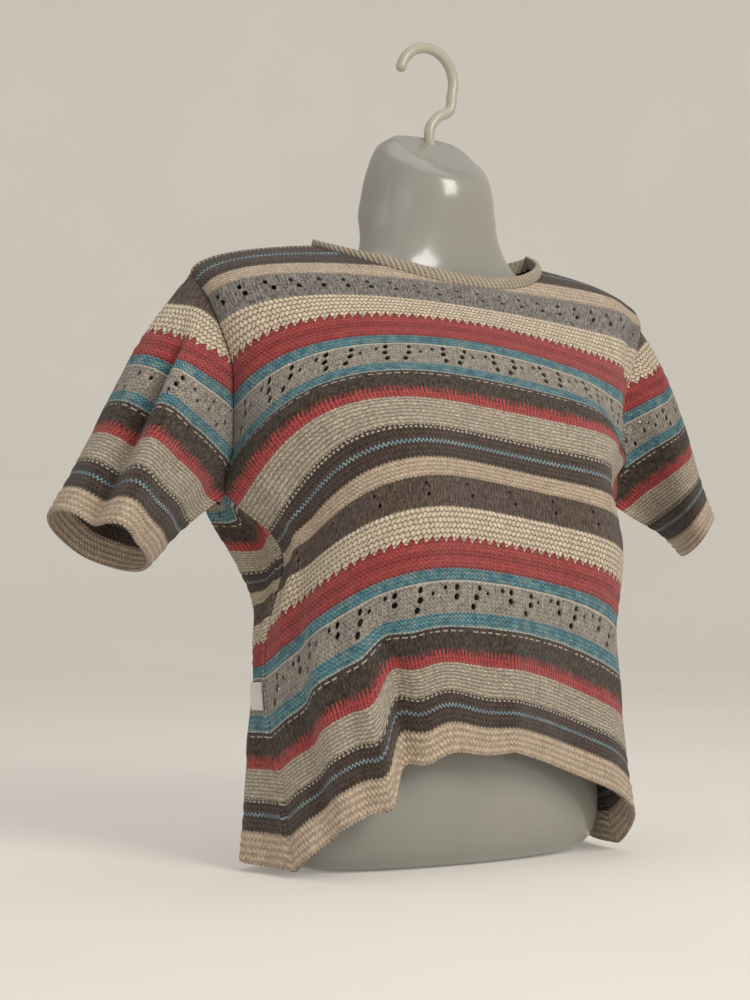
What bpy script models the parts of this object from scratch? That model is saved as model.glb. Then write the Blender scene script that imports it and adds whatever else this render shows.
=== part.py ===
"""Cropped knit top with short sleeves, worn by a limbless hanging torso form with its own hook.

Blender units are metres. +Z is up, the front faces -Y, and the form stands on its flat bottom at
Z = 0. Tables are in centimetres and count depth forwards, so depth is -Y. The panels are knitted
from the hem up, and a row is named by its height in the flat panel.
"""

import math

import bmesh
import bpy
import numpy as np
from mathutils import Vector, kdtree

CM = 0.01
WALL = 0.0020  # thickness of the knitted cloth
SEAM_GAP = 0.0003  # kept between pieces that meet

# Heights in the flat panels, in centimetres from the hem
UNDERARM_ROW = 24.15
SHOULDER_ROW = 38.90
FRONT_NECK_ROW = 35.80  # the neckline at its lowest
BACK_NECK_ROW = 37.60
NECK_HALF_SHARE = 0.48  # half the neck's width over half the shoulder row's length
NECKLINE_POWER = 0.62

# Rows of the front panel: the row's middle, how its height falls and its depth rounds away to
# the sides, and how far it hangs askew.
FRONT_COLUMNS = "row mid_z mid_depth droop square skew"
FRONT_MIDDLE = (
    (0.00, 8.2, 9.4, 1.15, 1.8, 0.0),
    (1.50, 9.85, 9.4, 1.3, 1.9, 0.2),
    (3.40, 11.8, 9.4, 1.45, 2.1, 0.5),
    (5.30, 13.8, 9.5, 1.6, 2.3, 0.7),
    (7.85, 16.4, 9.5, 2.0, 2.5, 0.9),
    (10.90, 19.5, 9.7, 2.3, 2.7, 1.0),
    (13.70, 22.2, 9.8, 2.5, 3.0, 1.0),
    (15.75, 24.3, 9.8, 2.6, 3.2, 1.0),
    (17.85, 26.3, 9.7, 2.9, 3.2, 1.0),
    (19.15, 27.4, 9.6, 3.3, 3.2, 1.0),
    (21.35, 29.5, 9.3, 3.8, 3.2, 1.0),
    (23.25, 31.4, 9.0, 3.2, 2.8, 1.0),
    (24.15, 32.2, 8.8, 2.8, 2.6, 1.0),
    (26.60, 34.0, 8.2, 2.3, 2.4, 1.0),
    (29.50, 36.1, 7.4, 1.8, 2.0, 0.9),
    (31.50, 37.5, 6.8, 1.8, 2.0, 0.8),
    (33.60, 38.8, 6.1, 2.0, 2.0, 0.6),
    (35.80, 40.4, 5.3, 2.8, 2.0, 0.3),
    (36.70, 41.5, 3.9, 2.6, 2.0, 0.1),
    (38.90, 43.9, -1.1, 1.6, 2.0, 0.0),
)
# The back has one column more: how far its corners stand out beyond the seams.
BACK_COLUMNS = FRONT_COLUMNS + " flare"
BACK_MIDDLE = (
    (0.00, 1.3, -3.2, 2.0, 6.0, 0.0, 1.2),
    (6.00, 7.4, -3.2, 2.0, 6.0, 0.0, 0.9),
    (11.50, 13.1, -3.3, 2.0, 6.0, 0.0, 0.4),
    (15.00, 16.8, -3.3, 2.0, 6.0, 0.0, 0.5),
    (18.00, 19.8, -3.4, 2.0, 6.0, 0.0, 1.9),
    (21.35, 23.2, -3.4, 2.0, 6.0, 0.0, 2.6),
    (24.15, 26.1, -3.4, 2.0, 6.0, 0.0, 0.9),
    (28.00, 30.4, -3.3, 2.0, 5.0, 0.0, 0.2),
    (33.60, 36.8, -3.5, 2.0, 4.0, 0.0, 0.0),
    (36.70, 40.8, -3.3, 1.8, 3.0, 0.0, 0.0),
    (38.90, 43.9, -1.1, 1.6, 2.0, 0.0, 0.0),
)

# The edge of both panels at the side seam, and the front's edge at the armhole
EDGE_COLUMNS = "row side_x side_depth side_z"
FRONT_EDGE = (
    (0.00, 14.0, 4.0, 0.5),
    (1.50, 13.8, 3.1, 2.7),
    (3.40, 13.6, 2.1, 4.9),
    (5.30, 13.4, 1.0, 6.9),
    (7.85, 13.3, -0.4, 9.4),
    (10.90, 13.0, -1.6, 13.2),
    (13.70, 13.1, -1.1, 16.6),
    (15.75, 13.0, 0.0, 19.1),
    (17.85, 12.9, 0.6, 20.8),
    (19.15, 13.0, 0.7, 21.7),
    (21.35, 13.9, 0.3, 23.3),
    (23.25, 16.0, 0.0, 24.9),
    (24.15, 16.8, -0.2, 25.7),
    (26.60, 16.6, 0.3, 28.8),
    (29.50, 16.8, 0.7, 32.4),
    (31.50, 17.1, 1.0, 34.6),
    (33.60, 18.0, 0.9, 37.1),
    (35.80, 18.7, 0.5, 38.9),
    (38.90, 19.1, -1.1, 40.6),
)
# The back's edge at the armhole
BACK_EDGE = (
    (24.15, 16.8, -0.2, 25.7),
    (26.60, 16.8, -2.0, 27.9),
    (29.50, 17.0, -3.0, 31.6),
    (33.60, 17.8, -3.2, 36.2),
    (36.70, 18.7, -2.6, 39.2),
    (38.90, 19.1, -1.1, 40.6),
)
SIDE_POWER = {"front": 0.9, "back": 0.35}  # lower is squarer at the panel's sides
FLARE_POWER = 6
APEX_X = 8.0  # from the middle, where the front stands furthest out
APEX_DEPTH = 0.7
APEX_REACH = 3.4
APEX_ROW = 17.0
APEX_ROWS = 7.0

# Soft folds: place across the panel (-1 and 1 are its sides) and how it leans with the row,
# height outwards, half width, lift of the cloth, and the rows where it starts, is full and fades.
FOLD_COLUMNS = "at lean height half_width lift start_row full_row faded_row"
FRONT_FOLDS = (
    (-0.540, 0.000, 0.95, 0.050, -0.5, -9.0, 3.0, 12.5),
    (-0.450, 0.000, -1.20, 0.060, 1.3, -9.0, 2.5, 12.0),
    (-0.290, 0.000, 0.00, 0.150, 1.5, -9.0, 2.0, 10.0),
    (-0.700, 0.000, 0.50, 0.070, 0.0, -9.0, 6.0, 17.0),
    (-0.810, 0.000, -0.60, 0.070, 0.0, -9.0, 6.0, 15.0),
    (0.020, 0.000, 0.40, 0.060, 0.0, -9.0, 6.0, 15.0),
    (0.300, 0.000, -0.35, 0.110, 0.0, -9.0, 5.0, 14.0),
    (0.560, 0.000, 0.45, 0.100, 0.0, -9.0, 6.0, 16.0),
    (0.740, 0.000, 0.55, 0.140, 0.0, -9.0, 10.0, 18.0),
    (-0.880, 0.000, 0.55, 0.045, 0.0, 10.0, 20.0, 24.0),
    (0.650, 0.000, -1.35, 0.150, 0.0, 16.5, 25.0, 31.0),
    (0.860, 0.000, -1.10, 0.110, 0.0, 17.0, 33.0, 39.5),
)
BACK_FOLDS = (
    (-0.420, 0.004, 0.45, 0.110, 0.0, -9.0, 9.0, 20.0),
    (-0.150, -0.003, 0.25, 0.120, 0.0, -9.0, 7.0, 17.0),
    (0.180, 0.003, 0.40, 0.100, 0.0, -9.0, 8.0, 19.0),
    (0.470, -0.004, 0.35, 0.120, 0.0, -9.0, 6.0, 16.0),
)

# Sleeves as they are at -X, where the left one is drawn before it is mirrored. The cuff is a
# ring: its centre, and from there its outer point and its front, as x, depth and z. Each thread
# runs there from the armhole in a free curve whose ends are set by the way it leaves the seam
# and enters the cuff.
CUFFS = {
    "sleeve_right": ((-25.1, -2.80, 22.5), (-2.75, -2.0, 1.4), (-2.0, 3.9, 1.4)),
    "sleeve_left": ((-25.0, 0.10, 23.5), (-1.00, 0.4, 1.7), (2.6, 4.2, 0.0)),
}
LEAVE_TOP = (-0.66, 0.0, -0.75)
LEAVE_UNDER = (-0.86, 0.0, -0.50)
ENTER_TOP = (-0.50, -0.05, -0.86)
ENTER_UNDER = (-0.74, -0.05, -0.66)
LEAVE_FORWARD = 0.30  # how much the front and back threads swing out of the armhole
THREAD_PULL = 0.36  # length of a thread's end handles over its span
# Creases along the sleeve: place round it (0 the underarm, 0.25 the front, 0.5 the shoulder)
CREASE_COLUMNS = "at_seam at_cuff height half_width"
CREASES = {
    "sleeve_right": (
        (0.355, 0.185, 1.45, 0.050),
        (0.430, 0.265, -1.45, 0.046),
        (0.540, 0.400, 0.20, 0.060),
        (0.700, 0.700, 0.35, 0.060),
    ),
    "sleeve_left": ((0.365, 0.365, 0.25, 0.040), (0.440, 0.440, -0.20, 0.045), (0.700, 0.700, 0.20, 0.060)),
}

NECKBAND_HEIGHT = 1.1
NECKBAND_RISE = 0.80  # 1 stands upright, 0 lies level
NECKBAND_CELLS = 2

# Grid cells of the walls: below and above the underarm, and across each side and the neck
ROWS_BELOW = 16
ROWS_ABOVE = 12
CELLS_SIDE = 8
CELLS_NECK = 14
SLEEVE_CELLS = 9

# Blank label in the side seam at -X, placed by the back panel's grid lines
LABEL_LINES_UP = (6.04, 7.04)
LABEL_LINES_ACROSS = (0.04, 1.0, 1.38)
LABEL_WALL = 0.0006

# Torso form: sections from its flat bottom to the slanted cap of its neck. tilt is how much
# higher the section's back is than its front.
FORM_COLUMNS = "z half_width front back round tilt"
FORM_SECTIONS = (
    (0.0, 10.6, 4.3, -2.2, 0.70, 0.0),
    (0.5, 12.1, 5.3, -2.5, 0.68, 0.0),
    (1.6, 12.9, 6.1, -2.7, 0.66, 0.0),
    (3.6, 13.1, 6.7, -2.8, 0.66, 0.0),
    (6.5, 12.7, 7.0, -2.8, 0.70, 0.0),
    (10.0, 12.0, 6.8, -2.8, 0.80, 0.0),
    (13.5, 11.4, 6.4, -2.8, 0.80, 0.0),
    (17.0, 11.0, 6.4, -2.8, 0.80, 0.0),
    (20.0, 11.1, 7.0, -2.8, 0.75, 0.0),
    (23.0, 11.4, 7.7, -2.8, 0.70, 0.0),
    (26.0, 11.9, 7.9, -2.8, 0.70, 0.0),
    (29.0, 12.9, 7.3, -2.7, 0.75, 0.0),
    (32.0, 14.2, 6.3, -2.6, 0.80, 0.0),
    (35.0, 14.8, 5.2, -2.5, 0.85, 0.0),
    (37.5, 14.0, 4.3, -2.4, 0.90, 0.0),
    (39.3, 12.2, 3.9, -2.2, 0.90, 0.0),
    (41.0, 9.0, 3.7, -2.0, 0.90, 0.0),
    (42.4, 6.4, 3.6, -1.9, 0.90, 0.3),
    (44.0, 5.2, 3.7, -2.3, 0.90, 0.8),
    (45.6, 4.8, 3.9, -2.8, 0.90, 1.4),
    (47.0, 4.5, 4.0, -3.0, 0.90, 2.2),
    (48.2, 3.9, 3.8, -2.7, 0.90, 3.2),
    (48.9, 2.9, 3.1, -2.0, 0.90, 3.3),
)
FORM_WIDEST = 0.35  # share of the way from back to front where a section is widest
FORM_BACK_POWER = 0.55
FORM_SIDES = 40
BUST_Z = 25.0
BUST_DEPTH = 0.6
BUST_REACH = 3.6

# Hook: the stem out of the cap, its jog, and the round above
HOOK_DEPTH = -1.3
HOOK_STEM = ((0.7, 50.9), (0.7, 52.9), (1.35, 53.65), (2.35, 54.25))  # x, z
HOOK_CENTRE = (0.35, 56.2)
HOOK_RADIUS = 2.35
HOOK_START = math.radians(-18)
HOOK_END = math.radians(172)
HOOK_STEPS = 14
HOOK_WIRE = 0.0039
SOCKET_CLEARANCE = 0.0004
SOCKET_DEPTH = 0.001  # below the stem's end


def columns(table, names):
    """The table's columns by name, as arrays."""
    return dict(zip(names.split(), np.array(table, float).T))


def smooth_between(knots, values, at):
    """A cubic through the table's values, its slopes taken from their neighbours."""
    slopes = np.gradient(values, knots)
    spot = np.clip(np.searchsorted(knots, at, side="right") - 1, 0, len(knots) - 2)
    step = knots[spot + 1] - knots[spot]
    part = np.clip((at - knots[spot]) / step, 0, 1)
    rise = values[spot + 1] - values[spot]
    start = slopes[spot] * step
    end = slopes[spot + 1] * step
    bend = (start + end - 2 * rise) * part**3 + (3 * rise - 2 * start - end) * part**2
    return values[spot] + start * part + bend


def fade(value, full, faded):
    """1 at full, easing to 0 at faded."""
    part = np.clip((value - full) / (faded - full), 0, 1)
    return 1 - part * part * (3 - 2 * part)


def bump(value, at, half_width):
    return np.exp(-(((value - at) / half_width) ** 2))


def unit(vectors):
    return vectors / np.maximum(np.linalg.norm(vectors, axis=-1, keepdims=True), 1e-9)


def neck_row(across, lowest):
    """The row at which the neckline cuts a column of the panel."""
    share = np.clip(1 - (across / NECK_HALF_SHARE) ** 2, 0, 1)
    return SHOULDER_ROW - (SHOULDER_ROW - lowest) * share**NECKLINE_POWER


class Panel:
    """A body panel over across (-1 to 1, by length along the row) and row (from the hem)."""

    STEPS = 161

    def __init__(self, name, middle, folds, lowest_neck):
        self.name = name
        self.middle = middle
        self.folds = folds
        self.lowest_neck = lowest_neck
        self.front_edge = columns(FRONT_EDGE, EDGE_COLUMNS)
        self.back_edge = columns(BACK_EDGE, EDGE_COLUMNS)
        turns = np.linspace(-1, 1, self.STEPS)
        turn, row = np.meshgrid(turns, np.linspace(0, SHOULDER_ROW, self.STEPS))
        steps = np.linalg.norm(np.diff(self.raw(turn, row), axis=1), axis=2)
        length = np.concatenate([np.zeros((self.STEPS, 1)), np.cumsum(steps, axis=1)], axis=1)
        self.lengths = length[:, -1]
        shares = length / length[:, -1:] * 2 - 1
        self.turns = np.array([np.interp(turns, share, turns) for share in shares])

    def column(self, name, row):
        return smooth_between(self.middle["row"], self.middle[name], row)

    def edge(self, name, row):
        """The side seam, which the panels share, and above it the panel's own armhole edge."""
        seam = smooth_between(self.front_edge["row"], self.front_edge[name], row)
        if self.name == "front":
            return seam
        armhole = smooth_between(self.back_edge["row"], self.back_edge[name], row)
        return np.where(row <= UNDERARM_ROW, seam, armhole)

    def raw(self, turn, row):
        """The plain surface by the turn of its section, -1 to 1."""
        side = np.abs(turn)
        flare = 0.0
        if self.name == "back":
            reach = side**FLARE_POWER
            flare = 4 * self.column("flare", row) * reach * (1 - reach)
        x = (self.edge("side_x", row) + flare) * np.sin(turn * math.pi / 2)
        flat = np.clip(1 - side ** self.column("square", row), 0, 1) ** SIDE_POWER[self.name]
        side_depth = self.edge("side_depth", row)
        depth = side_depth + (self.column("mid_depth", row) - side_depth) * flat
        if self.name == "front":
            depth = depth + APEX_DEPTH * bump(np.abs(x), APEX_X, APEX_REACH) * bump(row, APEX_ROW, APEX_ROWS)
        fall = side ** self.column("droop", row)
        mid_z = self.column("mid_z", row)
        z = mid_z + (self.edge("side_z", row) - mid_z) * fall
        z = z - self.column("skew", row) * np.sin(math.pi * turn)
        return np.stack([x, -depth, z], axis=-1)

    def plain(self, across, row):
        up = np.clip(row / SHOULDER_ROW, 0, 1) * (self.STEPS - 1)
        over = (np.clip(across, -1, 1) + 1) / 2 * (self.STEPS - 1)
        i = np.minimum(up.astype(int), self.STEPS - 2)
        j = np.minimum(over.astype(int), self.STEPS - 2)
        a, b = up - i, over - j
        low = self.turns[i, j] * (1 - b) + self.turns[i, j + 1] * b
        high = self.turns[i + 1, j] * (1 - b) + self.turns[i + 1, j + 1] * b
        return self.raw(low * (1 - a) + high * a, row)

    def normal(self, across, row, surface):
        """Unit normals away from the body."""
        reach, rise = 0.012, 0.4
        along = surface(np.minimum(across + reach, 1), row) - surface(np.maximum(across - reach, -1), row)
        up = surface(across, np.minimum(row + rise, SHOULDER_ROW)) - surface(across, np.maximum(row - rise, 0))
        face = unit(np.cross(along, up))
        return face if self.name == "front" else -face

    def surface(self, across, row):
        """The cloth's outer surface with its folds."""
        out, lift = np.zeros_like(row, dtype=float), np.zeros_like(row, dtype=float)
        for at, lean, height, half_width, rise, start_row, full_row, faded_row in self.folds:
            begun = 1 - fade(row, start_row, start_row + 5)
            shape = bump(across, at + lean * row, half_width) * fade(row, full_row, faded_row) * begun
            out = out + height * shape
            lift = lift + rise * shape
        pinned = 1 - np.abs(across) ** 24
        points = self.plain(across, row)
        points = points + self.normal(across, row, self.plain) * (out * pinned)[..., None]
        points[..., 2] += lift * pinned
        return points


def sleeve_thread(name, panels, turn, along):
    """A point of the sleeve at -X. turn goes round it from the underarm over the front to the
    shoulder at 0.5, and along goes from the seam to the cuff."""
    rise = np.where(turn < 0.5, turn, 1 - turn) * 2
    row = UNDERARM_ROW + (SHOULDER_ROW - UNDERARM_ROW) * rise
    edge = -np.ones_like(row)
    on_front = (turn < 0.5)[..., None]
    seam = np.where(on_front, panels[0].surface(edge, row), panels[1].surface(edge, row))
    over = -np.cos(2 * math.pi * turn)[..., None]
    forward = np.sin(2 * math.pi * turn)[..., None]
    to_world = np.array([1.0, -1.0, 1.0])
    centre, out, front = (np.array(v) * to_world for v in CUFFS[name])
    cuff = centre + out * over + front * forward
    top = (over + 1) / 2
    leave = np.array(LEAVE_TOP) * top + np.array(LEAVE_UNDER) * (1 - top)
    leave = unit(leave + np.array([0.0, LEAVE_FORWARD, 0.0]) * forward) * to_world
    enter = unit(np.array(ENTER_TOP) * top + np.array(ENTER_UNDER) * (1 - top)) * to_world
    pull = np.linalg.norm(cuff - seam, axis=-1, keepdims=True) * THREAD_PULL
    t = along[..., None]
    s = 1 - t
    points = seam * s**3 + (seam + leave * pull) * 3 * s * s * t + (cuff - enter * pull) * 3 * s * t * t + cuff * t**3
    away = unit(out * over + front * forward)
    height = np.zeros_like(turn)
    for at_seam, at_cuff, rise_out, half_width in CREASES[name]:
        height = height + rise_out * bump(turn, at_seam + (at_cuff - at_seam) * along, half_width)
    grown = 1 - fade(along, 0.05, 0.40)
    return points + away * (height * grown)[..., None]


def grid_normals(points, closed_round, inside):
    """Unit normals of a grid of points, on the side away from the points given as inside."""
    if closed_round:
        across = np.roll(points, -1, axis=1) - np.roll(points, 1, axis=1)
    else:
        across = np.gradient(points, axis=1)
    face = unit(np.cross(across, np.gradient(points, axis=0)))
    outward = ((points - inside) * face).sum()
    return face if outward > 0 else -face


class Wall:
    """A grid of outer points with their normals, and which of its edges are sewn."""

    def __init__(self, name, points, normals, sewn, closed_round=False):
        self.name = name
        self.points = points * CM
        self.normals = normals
        self.sewn = sewn
        self.closed_round = closed_round

    def edge_spots(self):
        """Grid places of every sewn edge, each with the way into the piece."""
        ups, alongs = self.points.shape[:2]
        rows = {"bottom": (0, 1), "top": (ups - 1, ups - 2)}
        sides = {"left": (0, 1), "right": (alongs - 1, alongs - 2)}
        for edge in self.sewn:
            if edge in rows:
                here, inner = rows[edge]
                for j in range(alongs):
                    yield (here, j), self.points[inner, j] - self.points[here, j], self.tangent(here, j, True)
            else:
                here, inner = sides[edge]
                for i in range(ups):
                    yield (i, here), self.points[i, inner] - self.points[i, here], self.tangent(i, here, False)

    def tangent(self, i, j, along_row):
        ups, alongs = self.points.shape[:2]
        if along_row and self.closed_round:
            return self.points[i, (j + 1) % alongs] - self.points[i, j - 1]
        if along_row:
            return self.points[i, min(j + 1, alongs - 1)] - self.points[i, max(j - 1, 0)]
        return self.points[min(i + 1, ups - 1), j] - self.points[max(i - 1, 0), j]


def share_seams(walls):
    """Gives pieces that meet one normal at each point of their seam, so that their ends lie face
    to face, and moves each back from the seam by half the gap."""
    spots = [(wall, spot, inward, tangent) for wall in walls for spot, inward, tangent in wall.edge_spots()]
    tree = kdtree.KDTree(len(spots))
    for number, (wall, spot, _, _) in enumerate(spots):
        tree.insert(Vector(wall.points[spot]), number)
    tree.balance()
    shared = []
    for wall, spot, _, _ in spots:
        found = {}
        for _, number, _ in tree.find_range(Vector(wall.points[spot]), SEAM_GAP):
            other = spots[number]
            found[other[0].name] = other[0].normals[other[1]]
        shared.append(unit(sum(found.values())))
    moves = {}
    for (wall, spot, inward, tangent), normal in zip(spots, shared):
        way = unit(inward - tangent * (inward @ tangent) / max(tangent @ tangent, 1e-12))
        way = unit(way - normal * (way @ normal))
        moves.setdefault((wall.name, spot), []).append(way)
    for (wall, spot, _, _), normal in zip(spots, shared):
        wall.normals[spot] = normal
    for wall in walls:
        for (name, spot), ways in moves.items():
            if name == wall.name:
                wall.points[spot] += sum(ways) * SEAM_GAP / 2


def add_rim(mesh, a, b, c, d):
    """Two triangles on the shorter diagonal, so that the rims of pieces that meet are alike."""
    if (a.co - c.co).length < (b.co - d.co).length:
        mesh.faces.new((a, b, c))
        mesh.faces.new((a, c, d))
    else:
        mesh.faces.new((a, b, d))
        mesh.faces.new((b, c, d))


def wall_mesh(name, outer, inner, closed_round):
    """A closed wall between two grids of points."""
    ups, alongs = outer.shape[:2]
    mesh = bmesh.new()
    skins = [[[mesh.verts.new(point) for point in line] for line in grid] for grid in (outer, inner)]
    last = alongs if closed_round else alongs - 1
    for along in range(last):
        beside = (along + 1) % alongs
        for up in range(ups - 1):
            for skin in skins:
                mesh.faces.new((skin[up][along], skin[up][beside], skin[up + 1][beside], skin[up + 1][along]))
        for up in (0, ups - 1):
            add_rim(mesh, skins[0][up][along], skins[0][up][beside], skins[1][up][beside], skins[1][up][along])
    if not closed_round:
        for up in range(ups - 1):
            for along in (0, alongs - 1):
                add_rim(mesh, skins[0][up][along], skins[0][up + 1][along], skins[1][up + 1][along], skins[1][up][along])
    return finished_mesh(name, mesh)


def finished_mesh(name, mesh):
    bmesh.ops.recalc_face_normals(mesh, faces=mesh.faces)
    data = bpy.data.meshes.new(name)
    mesh.to_mesh(data)
    mesh.free()
    data.shade_smooth()
    data.set_sharp_from_angle(angle=math.radians(50))
    return data


def material(name, colour, roughness):
    made = bpy.data.materials.new(name)
    made.use_nodes = True
    shader = made.node_tree.nodes["Principled BSDF"]
    shader.inputs["Base Color"].default_value = (*colour, 1)
    shader.inputs["Roughness"].default_value = roughness
    return made


def add_object(name, data, finish):
    item = bpy.data.objects.new(name, data)
    item.data.materials.append(finish)
    COLLECTION.objects.link(item)
    return item


def across_lines():
    """The grid's columns, with lines at the neck's ends."""
    side = np.linspace(-1, -NECK_HALF_SHARE, CELLS_SIDE + 1)
    neck = np.linspace(-NECK_HALF_SHARE, NECK_HALF_SHARE, CELLS_NECK + 1)
    return np.concatenate([side[:-1], neck, -side[:-1][::-1]])


def panel_wall(panel):
    acrosses = across_lines()
    shares = np.linspace(0, 1, ROWS_BELOW + 1), np.linspace(0, 1, ROWS_ABOVE + 1)[1:]
    tops = neck_row(acrosses, panel.lowest_neck)
    below = [np.full_like(acrosses, UNDERARM_ROW * share) for share in shares[0]]
    above = [UNDERARM_ROW + (tops - UNDERARM_ROW) * share for share in shares[1]]
    row = np.array(below + above)
    across = np.tile(acrosses, (len(row), 1))
    normals = panel.normal(across, row, panel.surface)
    return Wall(panel.name, panel.surface(across, row), normals, ("left", "right", "top"))


def sleeve_wall(name, panels):
    turns = np.arange(2 * ROWS_ABOVE) / (2 * ROWS_ABOVE)
    along, turn = np.meshgrid(np.linspace(0, 1, SLEEVE_CELLS + 1), turns, indexing="ij")
    points = sleeve_thread(name, panels, turn, along)
    if name == "sleeve_left":
        points = points * np.array([-1, 1, 1])
    normals = grid_normals(points, True, points.mean(axis=1, keepdims=True))
    return Wall(name, points, normals, ("bottom",), closed_round=True)


def neckband_wall(panels):
    inner_lines = across_lines()[CELLS_SIDE : CELLS_SIDE + CELLS_NECK + 1]
    front = panels[0].surface(inner_lines, neck_row(inner_lines, panels[0].lowest_neck))
    back = panels[1].surface(inner_lines, neck_row(inner_lines, panels[1].lowest_neck))
    loop = np.concatenate([front, back[1:-1][::-1]])
    middle = loop.mean(axis=0)
    inward = unit((middle - loop) * np.array([1, 1, 0]))
    way = unit(inward * (1 - NECKBAND_RISE) + np.array([0, 0, NECKBAND_RISE]))
    heights = np.linspace(0, NECKBAND_HEIGHT, NECKBAND_CELLS + 1)
    points = np.array([loop + way * height for height in heights])
    normals = grid_normals(points, True, points.mean(axis=1, keepdims=True))
    return Wall("neckband", points, normals, ("bottom",), closed_round=True)


def build_cloth(panels):
    walls = [panel_wall(panel) for panel in panels]
    walls += [sleeve_wall("sleeve_right", panels), sleeve_wall("sleeve_left", panels), neckband_wall(panels)]
    share_seams(walls)
    for wall in walls:
        inner = wall.points - wall.normals * WALL
        finish = RIB if wall.name == "neckband" else KNIT
        add_object(wall.name, wall_mesh(wall.name, wall.points, inner, wall.closed_round), finish)
    build_label(walls[1])


def between_lines(grid, up, across):
    """A value of the grid at a place between its lines."""
    i, j = int(up), int(across)
    a, b = up - i, across - j
    low = grid[i, j] * (1 - b) + grid[i, j + 1] * b
    high = grid[i + 1, j] * (1 - b) + grid[i + 1, j + 1] * b
    return low * (1 - a) + high * a


def build_label(back_wall):
    """A small tab that lies on the back panel beside the seam."""
    places = [[(up, across) for across in LABEL_LINES_ACROSS] for up in LABEL_LINES_UP]
    points = np.array([[between_lines(back_wall.points, *place) for place in line] for line in places])
    normals = unit(np.array([[between_lines(back_wall.normals, *place) for place in line] for line in places]))
    inner = points + normals * (2 * SEAM_GAP)
    add_object("side_label", wall_mesh("side_label", inner + normals * LABEL_WALL, inner, False), LABEL_CLOTH)


def form_ring(section):
    z, half_width, front, back, roundness, tilt = section
    angle = np.arange(FORM_SIDES) / FORM_SIDES * 2 * math.pi
    widest = back + (front - back) * FORM_WIDEST
    ahead = np.clip(np.cos(angle), 0, 1) ** roundness * (front - widest)
    behind = np.clip(-np.cos(angle), 0, 1) ** FORM_BACK_POWER * (widest - back)
    x = half_width * np.sin(angle)
    depth = widest + ahead - behind
    chest = bump(np.abs(x), APEX_X, BUST_REACH) * bump(z, BUST_Z, BUST_REACH) * (np.cos(angle) > 0)
    depth = depth + BUST_DEPTH * chest
    height = z + tilt * (front - depth) / (front - back)
    return np.stack([x, -depth, height], axis=-1) * CM


def build_form():
    mesh = bmesh.new()
    rings = [[mesh.verts.new(point) for point in form_ring(section)] for section in FORM_SECTIONS]
    for low, high in zip(rings, rings[1:]):
        for side in range(FORM_SIDES):
            beside = (side + 1) % FORM_SIDES
            mesh.faces.new((low[side], low[beside], high[beside], high[side]))
    mesh.faces.new(rings[0][::-1])
    mesh.faces.new(rings[-1])
    return add_object("torso_form", finished_mesh("torso_form", mesh), PLASTIC)


def hook_path():
    points = [(x, z) for x, z in HOOK_STEM]
    for angle in np.linspace(HOOK_START, HOOK_END, HOOK_STEPS):
        points.append((HOOK_CENTRE[0] + HOOK_RADIUS * math.cos(angle), HOOK_CENTRE[1] + HOOK_RADIUS * math.sin(angle)))
    return [Vector((x * CM, -HOOK_DEPTH * CM, z * CM)) for x, z in points]


def build_hook(wire, name):
    curve = bpy.data.curves.new(name, "CURVE")
    curve.dimensions = "3D"
    curve.bevel_depth = wire
    curve.bevel_resolution = 2
    curve.use_fill_caps = True
    path = hook_path()
    spline = curve.splines.new("POLY")
    spline.points.add(len(path) - 1)
    for spot, point in zip(spline.points, path):
        spot.co = (*point, 1)
    return add_object(name, curve, PLASTIC)


def cut_socket(form):
    """A socket in the cap for the hook's stem, a little wider than the wire."""
    x, z = HOOK_STEM[0]
    radius, height = HOOK_WIRE + SOCKET_CLEARANCE, 0.04
    mesh = bmesh.new()
    bmesh.ops.create_cone(mesh, cap_ends=True, segments=12, radius1=radius, radius2=radius, depth=height)
    cutter = bpy.data.objects.new("socket_cutter", finished_mesh("socket_cutter", mesh))
    CUTTERS.objects.link(cutter)
    cutter.location = (x * CM, -HOOK_DEPTH * CM, z * CM - SOCKET_DEPTH + height / 2)
    cutter.hide_render = True
    cutter.display_type = "WIRE"
    cut = form.modifiers.new("socket", "BOOLEAN")
    cut.object = cutter
    cut.operation = "DIFFERENCE"


for old in list(bpy.data.objects):
    bpy.data.objects.remove(old, do_unlink=True)
COLLECTION = bpy.data.collections.new("knit_top_on_form")
CUTTERS = bpy.data.collections.new("cutters")
for group in (COLLECTION, CUTTERS):
    bpy.context.scene.collection.children.link(group)
KNIT = material("knit", (0.50, 0.40, 0.33), 0.9)
RIB = material("rib", (0.62, 0.55, 0.44), 0.9)
LABEL_CLOTH = material("label_cloth", (0.80, 0.80, 0.78), 0.7)
PLASTIC = material("plastic", (0.72, 0.72, 0.69), 0.3)
FRONT = Panel("front", columns(FRONT_MIDDLE, FRONT_COLUMNS), FRONT_FOLDS, FRONT_NECK_ROW)
BACK = Panel("back", columns(BACK_MIDDLE, BACK_COLUMNS), BACK_FOLDS, BACK_NECK_ROW)
build_cloth((FRONT, BACK))
FORM = build_form()
cut_socket(FORM)
build_hook(HOOK_WIRE, "hook")
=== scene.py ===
"""Looks of the cropped knit top on its hanging torso form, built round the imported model.

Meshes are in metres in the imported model's frame: +Z is up and the front faces -Y. The tables are
in centimetres, with depth forwards as -Y. The cloth's shape comes from the same tables as the
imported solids, on finer grids. Its yarns take colour and relief from their place in the knitting.
"""

import math

import bpy
import numpy as np
from mathutils import Matrix, Vector, kdtree


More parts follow.
